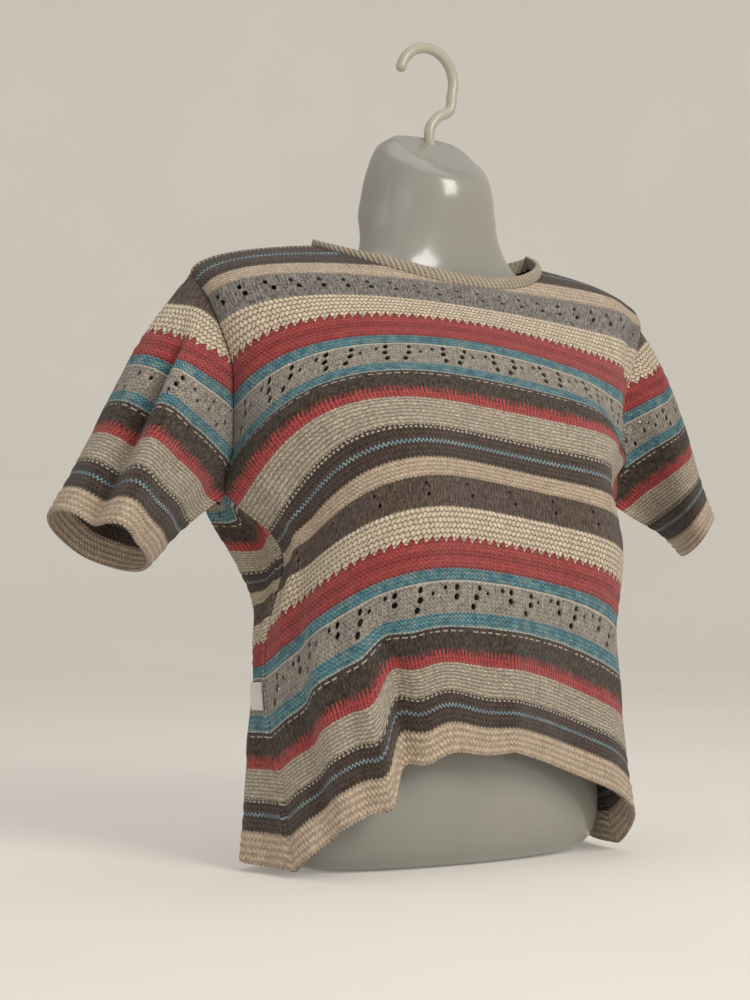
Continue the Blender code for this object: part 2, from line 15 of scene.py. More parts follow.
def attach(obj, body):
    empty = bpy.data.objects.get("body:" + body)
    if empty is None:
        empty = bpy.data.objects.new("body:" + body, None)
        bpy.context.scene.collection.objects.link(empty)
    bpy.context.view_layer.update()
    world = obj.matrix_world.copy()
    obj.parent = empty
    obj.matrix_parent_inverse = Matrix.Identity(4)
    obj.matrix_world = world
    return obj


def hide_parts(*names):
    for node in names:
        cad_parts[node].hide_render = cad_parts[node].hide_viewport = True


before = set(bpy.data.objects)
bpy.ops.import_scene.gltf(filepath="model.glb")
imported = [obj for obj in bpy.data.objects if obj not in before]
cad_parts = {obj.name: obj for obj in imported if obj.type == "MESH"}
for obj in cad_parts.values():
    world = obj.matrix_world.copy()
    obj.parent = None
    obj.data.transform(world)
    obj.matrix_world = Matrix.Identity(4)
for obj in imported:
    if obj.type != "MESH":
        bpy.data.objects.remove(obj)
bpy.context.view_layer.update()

SCENE = bpy.context.scene
TURN = 2 * math.pi
CM = 0.01
WALL = 0.002  # thickness of the knitted cloth
SEAM_GAP = 0.0003  # kept between pieces that meet

# Heights in the flat panels, in centimetres from the hem
UNDERARM_ROW = 24.15
SHOULDER_ROW = 38.9
FRONT_NECK_ROW = 35.8  # the neckline at its lowest
BACK_NECK_ROW = 37.6
NECK_HALF_SHARE = 0.48  # half the neck's width over half the shoulder row's length
NECKLINE_POWER = 0.62

# Rows of the front panel: the row's middle, how its height falls and its depth rounds away to
# the sides, and how far it hangs askew.
FRONT_COLUMNS = "row mid_z mid_depth droop square skew"
FRONT_MIDDLE = (
    (0, 8.2, 9.4, 1.15, 1.8, 0), (1.5, 9.85, 9.4, 1.3, 1.9, 0.2), (3.4, 11.8, 9.4, 1.45, 2.1, 0.5),
    (5.3, 13.8, 9.5, 1.6, 2.3, 0.7), (7.85, 16.4, 9.5, 2, 2.5, 0.9),
    (10.9, 19.5, 9.7, 2.3, 2.7, 1), (13.7, 22.2, 9.8, 2.5, 3, 1), (15.75, 24.3, 9.8, 2.6, 3.2, 1),
    (17.85, 26.3, 9.7, 2.9, 3.2, 1), (19.15, 27.4, 9.6, 3.3, 3.2, 1),
    (21.35, 29.5, 9.3, 3.8, 3.2, 1), (23.25, 31.4, 9, 3.2, 2.8, 1),
    (24.15, 32.2, 8.8, 2.8, 2.6, 1), (26.6, 34, 8.2, 2.3, 2.4, 1), (29.5, 36.1, 7.4, 1.8, 2, 0.9),
    (31.5, 37.5, 6.8, 1.8, 2, 0.8), (33.6, 38.8, 6.1, 2, 2, 0.6), (35.8, 40.4, 5.3, 2.8, 2, 0.3),
    (36.7, 41.5, 3.9, 2.6, 2, 0.1), (38.9, 43.9, -1.1, 1.6, 2, 0),
)
# The back has one column more: how far its corners stand out beyond the seams.
BACK_COLUMNS = FRONT_COLUMNS + " flare"
BACK_MIDDLE = (
    (0, 1.3, -3.2, 2, 6, 0, 1.2), (6, 7.4, -3.2, 2, 6, 0, 0.9), (11.5, 13.1, -3.3, 2, 6, 0, 0.4),
    (15, 16.8, -3.3, 2, 6, 0, 0.5), (18, 19.8, -3.4, 2, 6, 0, 1.9),
    (21.35, 23.2, -3.4, 2, 6, 0, 2.6), (24.15, 26.1, -3.4, 2, 6, 0, 0.9),
    (28, 30.4, -3.3, 2, 5, 0, 0.2), (33.6, 36.8, -3.5, 2, 4, 0, 0),
    (36.7, 40.8, -3.3, 1.8, 3, 0, 0), (38.9, 43.9, -1.1, 1.6, 2, 0, 0),
)

# The edge of both panels at the side seam, and the front's edge at the armhole
EDGE_COLUMNS = "row side_x side_depth side_z"
FRONT_EDGE = (
    (0, 14, 4, 0.5), (1.5, 13.8, 3.1, 2.7), (3.4, 13.6, 2.1, 4.9), (5.3, 13.4, 1, 6.9),
    (7.85, 13.3, -0.4, 9.4), (10.9, 13, -1.6, 13.2), (13.7, 13.1, -1.1, 16.6),
    (15.75, 13, 0, 19.1), (17.85, 12.9, 0.6, 20.8), (19.15, 13, 0.7, 21.7),
    (21.35, 13.9, 0.3, 23.3), (23.25, 16, 0, 24.9), (24.15, 16.8, -0.2, 25.7),
    (26.6, 16.6, 0.3, 28.8), (29.5, 16.8, 0.7, 32.4), (31.5, 17.1, 1, 34.6), (33.6, 18, 0.9, 37.1),
    (35.8, 18.7, 0.5, 38.9), (38.9, 19.1, -1.1, 40.6),
)
# The back's edge at the armhole
BACK_EDGE = (
    (24.15, 16.8, -0.2, 25.7), (26.6, 16.8, -2, 27.9), (29.5, 17, -3, 31.6),
    (33.6, 17.8, -3.2, 36.2), (36.7, 18.7, -2.6, 39.2), (38.9, 19.1, -1.1, 40.6),
)
SIDE_POWER = {"front": 0.9, "back": 0.35}  # lower is squarer at the panel's sides
FLARE_POWER = 6
APEX_X = 8.0  # from the middle, where the front stands furthest out
APEX_DEPTH = 0.7
APEX_REACH = 3.4
APEX_ROW = 17.0
APEX_ROWS = 7.0

# Soft folds: place across the panel (-1 to 1) and how it leans with the row, height outwards,
# half width, lift of the cloth, and the rows where it starts, is full and has faded
FRONT_FOLDS = (
    (-0.54, 0, 0.95, 0.05, -0.5, -9, 3, 12.5),
    (-0.45, 0, -1.2, 0.06, 1.3, -9, 2.5, 12),
    (-0.29, 0, 0, 0.15, 1.5, -9, 2, 10),
    (-0.7, 0, 0.5, 0.07, 0, -9, 6, 17),
    (-0.81, 0, -0.6, 0.07, 0, -9, 6, 15),
    (0.02, 0, 0.4, 0.06, 0, -9, 6, 15),
    (0.3, 0, -0.35, 0.11, 0, -9, 5, 14),
    (0.56, 0, 0.45, 0.1, 0, -9, 6, 16),
    (0.74, 0, 0.55, 0.14, 0, -9, 10, 18),
    (-0.88, 0, 0.55, 0.045, 0, 10, 20, 24),
    (0.65, 0, -1.35, 0.15, 0, 16.5, 25, 31),
    (0.86, 0, -1.1, 0.11, 0, 17, 33, 39.5),
)
BACK_FOLDS = (
    (-0.42, 0.004, 0.45, 0.11, 0, -9, 9, 20),
    (-0.15, -0.003, 0.25, 0.12, 0, -9, 7, 17),
    (0.18, 0.003, 0.4, 0.1, 0, -9, 8, 19),
    (0.47, -0.004, 0.35, 0.12, 0, -9, 6, 16),
)

# Sleeves at -X, where the left one is drawn before it is mirrored. The cuff is a ring: its centre,
# and from there its outer point and its front, as x, depth and z. Each thread runs there from the
# armhole in a curve that is set by the way it leaves the seam and enters the cuff.
CUFFS = {
    "sleeve_right": ((-25.1, -2.8, 22.5), (-2.75, -2, 1.4), (-2, 3.9, 1.4)),
    "sleeve_left": ((-25, 0.1, 23.5), (-1, 0.4, 1.7), (2.6, 4.2, 0)),
}
LEAVE_TOP = (-0.66, 0.0, -0.75)
LEAVE_UNDER = (-0.86, 0.0, -0.5)
ENTER_TOP = (-0.5, -0.05, -0.86)
ENTER_UNDER = (-0.74, -0.05, -0.66)
LEAVE_FORWARD = 0.3  # how much the front and back threads swing out of the armhole
THREAD_PULL = 0.36  # length of a thread's end handles over its span
# Creases along the sleeve: places round it at seam and cuff (0 the underarm, 0.25 the front,
# 0.5 the shoulder), height and half width
CREASES = {
    "sleeve_right": (
        (0.355, 0.185, 1.45, 0.05),
        (0.43, 0.265, -1.45, 0.046),
        (0.54, 0.4, 0.2, 0.06),
        (0.7, 0.7, 0.35, 0.06),
    ),
    "sleeve_left": ((0.365, 0.365, 0.25, 0.04), (0.44, 0.44, -0.2, 0.045), (0.7, 0.7, 0.2, 0.06)),
}

NECKBAND_HEIGHT = 1.1
NECKBAND_RISE = 0.8  # 1 stands upright, 0 lies level

# Torso form: sections from its flat bottom to the slanted cap of its neck, as z, half width, front,
# back, roundness, and how much higher the section's back is than its front
FORM_SECTIONS = (
    (0, 10.6, 4.3, -2.2, 0.7, 0), (0.5, 12.1, 5.3, -2.5, 0.68, 0), (1.6, 12.9, 6.1, -2.7, 0.66, 0),
    (3.6, 13.1, 6.7, -2.8, 0.66, 0), (6.5, 12.7, 7, -2.8, 0.7, 0), (10, 12, 6.8, -2.8, 0.8, 0),
    (13.5, 11.4, 6.4, -2.8, 0.8, 0), (17, 11, 6.4, -2.8, 0.8, 0), (20, 11.1, 7, -2.8, 0.75, 0),
    (23, 11.4, 7.7, -2.8, 0.7, 0), (26, 11.9, 7.9, -2.8, 0.7, 0), (29, 12.9, 7.3, -2.7, 0.75, 0),
    (32, 14.2, 6.3, -2.6, 0.8, 0), (35, 14.8, 5.2, -2.5, 0.85, 0), (37.5, 14, 4.3, -2.4, 0.9, 0),
    (39.3, 12.2, 3.9, -2.2, 0.9, 0), (41, 9, 3.7, -2, 0.9, 0), (42.4, 6.4, 3.6, -1.9, 0.9, 0.3),
    (44, 5.2, 3.7, -2.3, 0.9, 0.8), (45.6, 4.8, 3.9, -2.8, 0.9, 1.4), (47, 4.5, 4, -3, 0.9, 2.2),
    (48.2, 3.9, 3.8, -2.7, 0.9, 3.2), (48.9, 2.9, 3.1, -2, 0.9, 3.3),
)
FORM_WIDEST = 0.35  # share of the way from back to front where a section is widest
FORM_BACK_POWER = 0.55
BUST_Z = 25.0
BUST_DEPTH = 0.6
BUST_REACH = 3.6

# Hook: the stem out of the cap, its jog, and the round above
HOOK_DEPTH = -1.3
HOOK_STEM = ((0.7, 50.9), (0.7, 52.9), (1.35, 53.65), (2.35, 54.25))  # x, z
HOOK_CENTRE = (0.35, 56.2)
HOOK_RADIUS = 2.35
HOOK_START = math.radians(-18)
HOOK_END = math.radians(172)
HOOK_STEPS = 14
HOOK_WIRE = 0.0039


def columns(table, names):
    """The table's columns by name, as arrays."""
    return dict(zip(names.split(), np.array(table, float).T))


def smooth_between(knots, values, at):
    """A cubic through the table's values, its slopes taken from their neighbours."""
    slopes = np.gradient(values, knots)
    spot = np.clip(np.searchsorted(knots, at, side="right") - 1, 0, len(knots) - 2)
    step = knots[spot + 1] - knots[spot]
    part = np.clip((at - knots[spot]) / step, 0, 1)
    rise = values[spot + 1] - values[spot]
    start = slopes[spot] * step
    end = slopes[spot + 1] * step
    bend = (start + end - 2 * rise) * part**3 + (3 * rise - 2 * start - end) * part**2
    return values[spot] + start * part + bend


def fade(value, full, faded):
    """1 at full, easing to 0 at faded."""
    part = np.clip((value - full) / (faded - full), 0, 1)
    return 1 - part * part * (3 - 2 * part)


def circle(sides):
    return np.arange(sides) / sides * TURN


def bump(value, at, half_width):
    return np.exp(-(((value - at) / half_width) ** 2))


def unit(vectors):
    return vectors / np.maximum(np.linalg.norm(vectors, axis=-1, keepdims=True), 1e-9)


def neck_row(across, lowest):
    """The row at which the neckline cuts a column of the panel."""
    share = np.clip(1 - (across / NECK_HALF_SHARE) ** 2, 0, 1)
    return SHOULDER_ROW - (SHOULDER_ROW - lowest) * share**NECKLINE_POWER


class Panel:
    """A body panel over across (-1 to 1, by length along the row) and row (from the hem)."""

    STEPS = 161

    def __init__(self, name, middle, folds, lowest_neck):
        self.name = name
        self.middle = middle
        self.folds = folds
        self.lowest_neck = lowest_neck
        self.front_edge = columns(FRONT_EDGE, EDGE_COLUMNS)
        self.back_edge = columns(BACK_EDGE, EDGE_COLUMNS)
        turns = np.linspace(-1, 1, self.STEPS)
        turn, row = np.meshgrid(turns, np.linspace(0, SHOULDER_ROW, self.STEPS))
        steps = np.linalg.norm(np.diff(self.raw(turn, row), axis=1), axis=2)
        length = np.concatenate([np.zeros((self.STEPS, 1)), np.cumsum(steps, axis=1)], axis=1)
        self.lengths = length[:, -1]
        shares = length / length[:, -1:] * 2 - 1
        self.turns = np.array([np.interp(turns, share, turns) for share in shares])

    def column(self, name, row):
        return smooth_between(self.middle["row"], self.middle[name], row)

    def edge(self, name, row):
        """The side seam, which the panels share, and above it the panel's own armhole edge."""
        seam = smooth_between(self.front_edge["row"], self.front_edge[name], row)
        if self.name == "front":
            return seam
        armhole = smooth_between(self.back_edge["row"], self.back_edge[name], row)
        return np.where(row <= UNDERARM_ROW, seam, armhole)

    def raw(self, turn, row):
        """The plain surface by the turn of its section, -1 to 1."""
        side = np.abs(turn)
        flare = 0.0
        if self.name == "back":
            reach = side**FLARE_POWER
            flare = 4 * self.column("flare", row) * reach * (1 - reach)
        x = (self.edge("side_x", row) + flare) * np.sin(turn * math.pi / 2)
        flat = np.clip(1 - side ** self.column("square", row), 0, 1) ** SIDE_POWER[self.name]
        side_depth = self.edge("side_depth", row)
        depth = side_depth + (self.column("mid_depth", row) - side_depth) * flat
        if self.name == "front":
            apex = bump(np.abs(x), APEX_X, APEX_REACH)
            depth = depth + APEX_DEPTH * apex * bump(row, APEX_ROW, APEX_ROWS)
        fall = side ** self.column("droop", row)
        mid_z = self.column("mid_z", row)
        z = mid_z + (self.edge("side_z", row) - mid_z) * fall
        z = z - self.column("skew", row) * np.sin(math.pi * turn)
        return np.stack([x, -depth, z], axis=-1)

    def plain(self, across, row):
        up = np.clip(row / SHOULDER_ROW, 0, 1) * (self.STEPS - 1)
        over = (np.clip(across, -1, 1) + 1) / 2 * (self.STEPS - 1)
        i = np.minimum(up.astype(int), self.STEPS - 2)
        j = np.minimum(over.astype(int), self.STEPS - 2)
        a, b = up - i, over - j
        low = self.turns[i, j] * (1 - b) + self.turns[i, j + 1] * b
        high = self.turns[i + 1, j] * (1 - b) + self.turns[i + 1, j + 1] * b
        return self.raw(low * (1 - a) + high * a, row)

    def normal(self, across, row, surface):
        """Unit normals away from the body."""
        reach, rise = 0.012, 0.4
        right, left = (surface(np.clip(across + step, -1, 1), row) for step in (reach, -reach))
        high, low = (surface(across, np.clip(row + step, 0, SHOULDER_ROW)) for step in (rise, -rise))
        face = unit(np.cross(right - left, high - low))
        return face if self.name == "front" else -face

    def surface(self, across, row):
        """The cloth's outer surface with its folds."""
        out, lift = np.zeros_like(row, dtype=float), np.zeros_like(row, dtype=float)
        for at, lean, height, half_width, rise, start_row, full_row, faded_row in self.folds:
            begun = 1 - fade(row, start_row, start_row + 5)
            shape = bump(across, at + lean * row, half_width) * fade(row, full_row, faded_row) * begun
            out = out + height * shape
            lift = lift + rise * shape
        pinned = 1 - np.abs(across) ** 24
        points = self.plain(across, row)
        points = points + self.normal(across, row, self.plain) * (out * pinned)[..., None]
        points[..., 2] += lift * pinned
        return points


def armhole_row(turn):
    """The panels' row that the sleeve is sewn to."""
    return UNDERARM_ROW + (SHOULDER_ROW - UNDERARM_ROW) * (np.where(turn < 0.5, turn, 1 - turn) * 2)


def sleeve_thread(name, panels, turn, along):
    """A point of the sleeve at -X. turn goes round it from the underarm over the front to the
    shoulder at 0.5, and along goes from the seam to the cuff."""
    row = armhole_row(turn)
    edge = -np.ones_like(row)
    on_front = (turn < 0.5)[..., None]
    seam = np.where(on_front, panels[0].surface(edge, row), panels[1].surface(edge, row))
    over = -np.cos(TURN * turn)[..., None]
    forward = np.sin(TURN * turn)[..., None]
    to_world = np.array([1.0, -1.0, 1.0])
    centre, out, front = (np.array(v) * to_world for v in CUFFS[name])
    cuff = centre + out * over + front * forward
    top = (over + 1) / 2
    leave = np.array(LEAVE_TOP) * top + np.array(LEAVE_UNDER) * (1 - top)
    leave = unit(leave + np.array([0.0, LEAVE_FORWARD, 0.0]) * forward) * to_world
    enter = unit(np.array(ENTER_TOP) * top + np.array(ENTER_UNDER) * (1 - top)) * to_world
    pull = np.linalg.norm(cuff - seam, axis=-1, keepdims=True) * THREAD_PULL
    t = along[..., None]
    s = 1 - t
    points = seam * s**3 + (seam + leave * pull) * 3 * s * s * t
    points = points + (cuff - enter * pull) * 3 * s * t * t + cuff * t**3
    away = unit(out * over + front * forward)
    height = np.zeros_like(turn)
    for at_seam, at_cuff, rise_out, half_width in CREASES[name]:
        height = height + rise_out * bump(turn, at_seam + (at_cuff - at_seam) * along, half_width)
    grown = 1 - fade(along, 0.05, 0.4)
    return points + away * (height * grown)[..., None]


def tube_normals(points):
    """Outward unit normals of a grid of points that is closed round."""
    across = np.roll(points, -1, axis=1) - np.roll(points, 1, axis=1)
    face = unit(np.cross(across, np.gradient(points, axis=0)))
    outward = ((points - points.mean(axis=1, keepdims=True)) * face).sum()
    return face if outward > 0 else -face


class Wall:
    """A grid of outer points with their normals, and which of its edges are sewn."""

    def __init__(self, name, points, normals, sewn, closed_round=False):
        self.name = name
        self.points = points * CM
        self.normals = normals
        self.sewn = sewn
        self.closed_round = closed_round

    def edge_spots(self):
        """Grid places of every sewn edge, each with the way into the piece and along the edge."""
        ups, alongs = self.points.shape[:2]
        ends = {"top": (ups - 1, ups - 2), "right": (alongs - 1, alongs - 2)}
        for edge in self.sewn:
            here, inner = ends.get(edge, (0, 1))
            level = edge in ("bottom", "top")
            line = self.points[here] if level else self.points[:, here]
            inside = self.points[inner] if level else self.points[:, inner]
            for k, point in enumerate(line):
                if self.closed_round:
                    before, after = k - 1, (k + 1) % len(line)
                else:
                    before, after = max(k - 1, 0), min(k + 1, len(line) - 1)
                yield (here, k) if level else (k, here), inside[k] - point, line[after] - line[before]


def share_seams(walls):
    """Gives pieces that meet one normal at each point of their seam, and moves each back from the
    seam by half the gap."""
    spots = [(wall, spot, inward, tangent) for wall in walls for spot, inward, tangent in wall.edge_spots()]
    tree = kdtree.KDTree(len(spots))
    for number, (wall, spot, _, _) in enumerate(spots):
        tree.insert(Vector(wall.points[spot]), number)
    tree.balance()
    shared = []
    for wall, spot, _, _ in spots:
        found = {}
        for _, number, _ in tree.find_range(Vector(wall.points[spot]), SEAM_GAP):
            other, other_spot = spots[number][:2]
            found[other.name] = other.normals[other_spot]
        shared.append(unit(sum(found.values())))
    moves = {}
    for (wall, spot, inward, tangent), normal in zip(spots, shared):
        way = unit(inward - tangent * (inward @ tangent) / max(tangent @ tangent, 1e-12))
        moves.setdefault((wall, spot), []).append(unit(way - normal * (way @ normal)))
        wall.normals[spot] = normal
    for (wall, spot), ways in moves.items():
        wall.points[spot] += sum(ways) * SEAM_GAP / 2


# Grid cells of the fine walls: up to the underarm, to the row where lines bend to the neckline
# and to the top, and across each side and the neck
SQUARE_ROW = 33.6
ROWS_BELOW = 158
ROWS_SQUARE = 62
ROWS_TOP = 35
CELLS_SIDE = 49
CELLS_NECK = 92
SIDE_LINES = np.linspace(-1, -NECK_HALF_SHARE, CELLS_SIDE + 1)[:-1]
NECK_LINES = np.linspace(-NECK_HALF_SHARE, NECK_HALF_SHARE, CELLS_NECK + 1)
ACROSS_LINES = np.concatenate([SIDE_LINES, NECK_LINES, -SIDE_LINES[::-1]])
BELOW_LINES = np.linspace(0, UNDERARM_ROW, ROWS_BELOW + 1)
SQUARE_LINES = np.linspace(UNDERARM_ROW, SQUARE_ROW, ROWS_SQUARE + 1)
TOP_LINES = np.linspace(SQUARE_ROW, SHOULDER_ROW, ROWS_TOP + 1)
ROW_LINES = np.concatenate([BELOW_LINES, SQUARE_LINES[1:], TOP_LINES[1:]])
SLEEVE_CELLS = 110
NECKBAND_FINE = 4  # neckband cells to one of the panels'
NECKBAND_CELLS = 8
NECKBAND_WORN = 0.78  # of its height, for the rib's edge rolls over
NECKBAND_DIP = 0.35  # and more at the wearer's right shoulder
NECKBAND_DIP_REACH = 3.0

# The knitting repeats from the hem. Rows of the panels and sleeves, each with the pattern's row
REPEAT = 17.85
PATTERN_OF_BODY = (
    (0, 0), (17.85, 17.85), (19.15, 19.35), (21.35, 21.25), (23.25, 23.15), (24.15, 24.05),
    (25.8, 25.7), (26.6, 26.65), (28.7, 28.75), (29.5, 29.55), (31.5, 31.55), (33.6, 33.6),
    (35.8, 35.7), (36.7, 37.2), (38.9, 39.1), (39.5, 39.7),
)
PATTERN_OF_SLEEVE = (
    (0, 0), (1.7, 1.5), (3.9, 3.4), (5.9, 5.3), (6.8, 6.2), (8.5, 7.85), (9.3, 8.8),
    (11.5, 10.9), (12.3, 11.7), (14.3, 13.7), (16.6, 15.75), (19.3, 17.84),
)
# Height on the sleeve at the armhole seam, by the panel's row that it is sewn to
SLEEVE_HEAD = (
    (24.15, 6.8), (25.8, 8.5), (26.6, 9.3), (28.7, 11.5),
    (29.5, 12.3), (31.5, 14.3), (33.6, 16.6), (38.9, 19.2),
)
SLEEVE_ROUND = 29.0  # centimetres of knitting round the sleeve
WORN_SEAM = 0.45  # beside a panel's seam the knitting's relief fades within this
WORN_HEAD = 0.03  # and within this share of a sleeve's length
# The back's stripes hang down beside its side seams, from the lowest to the highest of these rows
SAG_DEPTH = 3.8
SAG_START = 1.0
SAG_REACH = 3.4
SAG_ROWS = (10.5, 17.5, 25.0, 32.0)

# Bands of one repeat from its bottom: where it ends, colour, relief of the cloth in centimetres,
# shares of garter, moss and vee stitches, and shares of upright ribs, bobbles and mohair
BANDS = (
    ("garter", 1.5, (0.66, 0.53, 0.4), 0.02, (1, 0, 0), (0, 0, 0)),
    ("dark", 3.4, (0.12, 0.084, 0.068), -0.02, (0, 0, 0.8), (0, 0, 0.3)),
    ("moss", 5.3, (0.64, 0.55, 0.44), 0.01, (0, 1, 0), (0, 0, 0)),
    ("ticks", 6.2, (0.54, 0.09, 0.088), -0.01, (0, 0, 0.5), (0.5, 0, 0)),
    ("brown", 7.85, (0.09, 0.064, 0.043), 0.03, (0, 0, 0), (0, 0, 1)),
    ("blue", 8.8, (0.17, 0.42, 0.5), 0, (0, 0, 1), (0, 0, 0)),
    ("lace", 10.9, (0.62, 0.57, 0.5), -0.01, (0, 0, 0.55), (0.1, 0, 0.35)),
    ("blue_top", 11.7, (0.17, 0.42, 0.5), 0, (0, 0, 1), (0, 0, 0)),
    ("coral", 13.7, (0.54, 0.09, 0.088), 0.02, (0, 0, 1), (0, 0, 0)),
    ("bobble", 15.75, (0.6, 0.51, 0.39), 0.05, (0, 0, 0), (0, 1, 0)),
    ("pointelle", 17.85, (0.19, 0.135, 0.112), 0, (0, 0, 0.25), (0.2, 0, 0.7)),
)
ENDS = {band[0]: band[1] for band in BANDS}
STARTS = dict(zip(ENDS, [0.0, *ENDS.values()]))
# Ridges along the rows: height, row of a crest, pitch. Flutes across them: height, pitch
RIDGES = {"garter": (0.045, 0.25, 0.5), "dark": (-0.03, 1.5, 0.95), "coral": (-0.03, 11.7, 1.0)}
FLUTES = {"lace": (0.012, 4.0), "pointelle": (0.015, 1.8)}
BAND_SLOPE = 0.15
BAND_EDGE = 0.12
BOBBLE_HEIGHT = 0.022
BOBBLE_WIDTH = 0.7
BOBBLE_TIER = 0.684
GREY_POINTELLE = (0.43, 0.395, 0.37)  # the pointelle band's yarn above the underarm
GREY_FROM = 30.0

# Eyelets of one motif: its period, then each hole's place across, rows above the middle and size
LACE_MIDDLE = 9.83
LACE_MOTIF = (4.2, (
    (0.0, 0.6, 1.1), (0.04, 0.02, 1.3), (0.22, -0.58, 1.1), (1.72, 0.62, 1.0), (1.66, -0.03, 1.3),
    (1.4, -0.6, 1.2), (-0.75, 0.5, 0.8), (-1.3, -0.15, 0.9), (2.45, 0.25, 0.7),
))
SMALL_MIDDLE = 16.75
SMALL_MOTIF = (1.8, ((-0.12, 0.45, 1.0), (0.16, -0.15, 1.1)))
SPARSE_MOTIF = (3.6, ((0.0, 0.5, 0.6), (0.35, -0.25, 0.7)))
EYELET_MARGIN = 0.5  # from the sides of the knitting
EYELET_MISS = 0.02  # the square of how far the nearest point of the grid may be
EYELET_UP = 1.38  # half the height and half the width of a hole of size 1, in cells
EYELET_OVER = 0.8


def within(name, row):
    """1 inside a band and 0 outside it, with a short slope."""
    up, down = (row - STARTS[name]) / BAND_SLOPE, (ENDS[name] - row) / BAND_SLOPE
    return np.clip(up, 0, 1) * np.clip(down, 0, 1)


def relief(across_cm, pattern):
    """How far the knitting stands out, in centimetres."""
    row = np.mod(pattern, REPEAT)
    level_rows = [place for band in BANDS for place in (STARTS[band[0]] + BAND_EDGE, band[1] - BAND_EDGE)]
    out = np.interp(row, level_rows, np.repeat([band[3] for band in BANDS], 2))
    for name, (height, crest, pitch) in RIDGES.items():
        out = out + within(name, row) * height * np.cos(TURN * (row - crest) / pitch)
    tiers = (row - STARTS["bobble"]) / BOBBLE_TIER
    bobbles = np.cos(TURN * (across_cm / BOBBLE_WIDTH + np.floor(tiers) * 0.5))
    bobbles = bobbles * np.cos(TURN * (tiers - 0.5) / 2) ** 2
    out = out + within("bobble", row) * BOBBLE_HEIGHT * bobbles
    for name, (height, pitch) in FLUTES.items():
        out = out + within(name, row) * height * np.cos(TURN * across_cm / pitch)
    return out


def sag(from_seam, row):
    """How far the back's stripes hang down beside its side seams, in centimetres."""
    reach = (from_seam + SAG_START) / SAG_REACH
    low, full, fading, gone = SAG_ROWS
    held = np.clip((row - low) / (full - low), 0, 1) * np.clip((gone - row) / (gone - fading), 0, 1)
    return SAG_DEPTH * reach * np.exp(1 - reach) * held * held * (3 - 2 * held)


def fine_panel(panel):
    """The panel's wall, and for its points the place across in centimetres and the pattern row."""
    above = np.clip((ROW_LINES - SQUARE_ROW) / (SHOULDER_ROW - SQUARE_ROW), 0, 1)[:, None]
    tops = neck_row(ACROSS_LINES, panel.lowest_neck)[None, :]
    row = np.minimum(ROW_LINES[:, None], SQUARE_ROW) + above * (tops - SQUARE_ROW)
    across = np.tile(ACROSS_LINES, (len(ROW_LINES), 1))
    normals = panel.normal(across, row, panel.surface)
    wall = Wall(panel.name, panel.surface(across, row), normals, ("left", "right", "top"))
    half = panel.lengths.mean() / 2
    from_seam = (1 - np.abs(across)) * half
    worked = row + sag(from_seam, row) if panel.name == "back" else row
    pattern = np.interp(worked, *np.array(PATTERN_OF_BODY).T)
    to_seam = np.minimum(from_seam, tops - row)
    return wall, across * half, pattern, np.clip(to_seam / WORN_SEAM, 0, 1)


def fine_sleeve(name, panels):
    edge = (ROW_LINES[ROWS_BELOW:] - UNDERARM_ROW) / (SHOULDER_ROW - UNDERARM_ROW) / 2
    turns = np.concatenate([edge, 1 - edge[1:-1][::-1]])
    along, turn = np.meshgrid(np.linspace(0, 1, SLEEVE_CELLS + 1), turns, indexing="ij")
    points = sleeve_thread(name, panels, turn, along)
    if name == "sleeve_left":
        points = points * np.array([-1, 1, 1])
    wall = Wall(name, points, tube_normals(points), ("bottom",), closed_round=True)
    head = np.interp(armhole_row(turn), *np.array(SLEEVE_HEAD).T)
    pattern = np.interp(head * (1 - along), *np.array(PATTERN_OF_SLEEVE).T)
    return wall, turn * SLEEVE_ROUND, pattern, np.clip(along / WORN_HEAD, 0, 1)


def fine_neckband(panels):
    lines = np.linspace(-NECK_HALF_SHARE, NECK_HALF_SHARE, CELLS_NECK * NECKBAND_FINE + 1)
    front, back = (panel.surface(lines, neck_row(lines, panel.lowest_neck)) for panel in panels)
    loop = np.concatenate([front, back[1:-1][::-1]])
    inward = unit((loop.mean(axis=0) - loop) * np.array([1, 1, 0]))
    way = unit(inward * (1 - NECKBAND_RISE) + np.array([0, 0, NECKBAND_RISE]))
    shares = np.linspace(0, 1, NECKBAND_CELLS + 1)
    worn = NECKBAND_WORN - NECKBAND_DIP * bump(loop[:, :1], loop[:, 0].min(), NECKBAND_DIP_REACH)
    points = np.array([loop + way * NECKBAND_HEIGHT * worn * share for share in shares])
    wall = Wall("neckband", points, tube_normals(points), ("bottom",), closed_round=True)
    steps = np.linalg.norm(np.roll(loop, -1, axis=0) - loop, axis=1)
    place = np.concatenate([[0], np.cumsum(steps)[:-1]])
    knit_across = np.tile(place, (len(shares), 1))
    pattern = np.tile(shares[:, None] * NECKBAND_HEIGHT, (1, len(loop)))
    return wall, knit_across, pattern, steps.sum()


def eyelet_places(width, repeats):
    """Eyelets over the knitting's width: the place across, the row of the pattern and the size."""
    for base in (repeat * REPEAT for repeat in range(repeats)):
        small = SMALL_MOTIF if base + SMALL_MIDDLE > GREY_FROM else SPARSE_MOTIF
        for middle, (period, holes) in ((base + LACE_MIDDLE, LACE_MOTIF), (base + SMALL_MIDDLE, small)):
            for number in range(math.floor(width[0] / period) - 1, math.ceil(width[1] / period) + 1):
                for across_cm, up, size in holes:
                    place = number * period + across_cm
                    if width[0] + EYELET_MARGIN < place < width[1] - EYELET_MARGIN:
                        yield place, middle + up, size


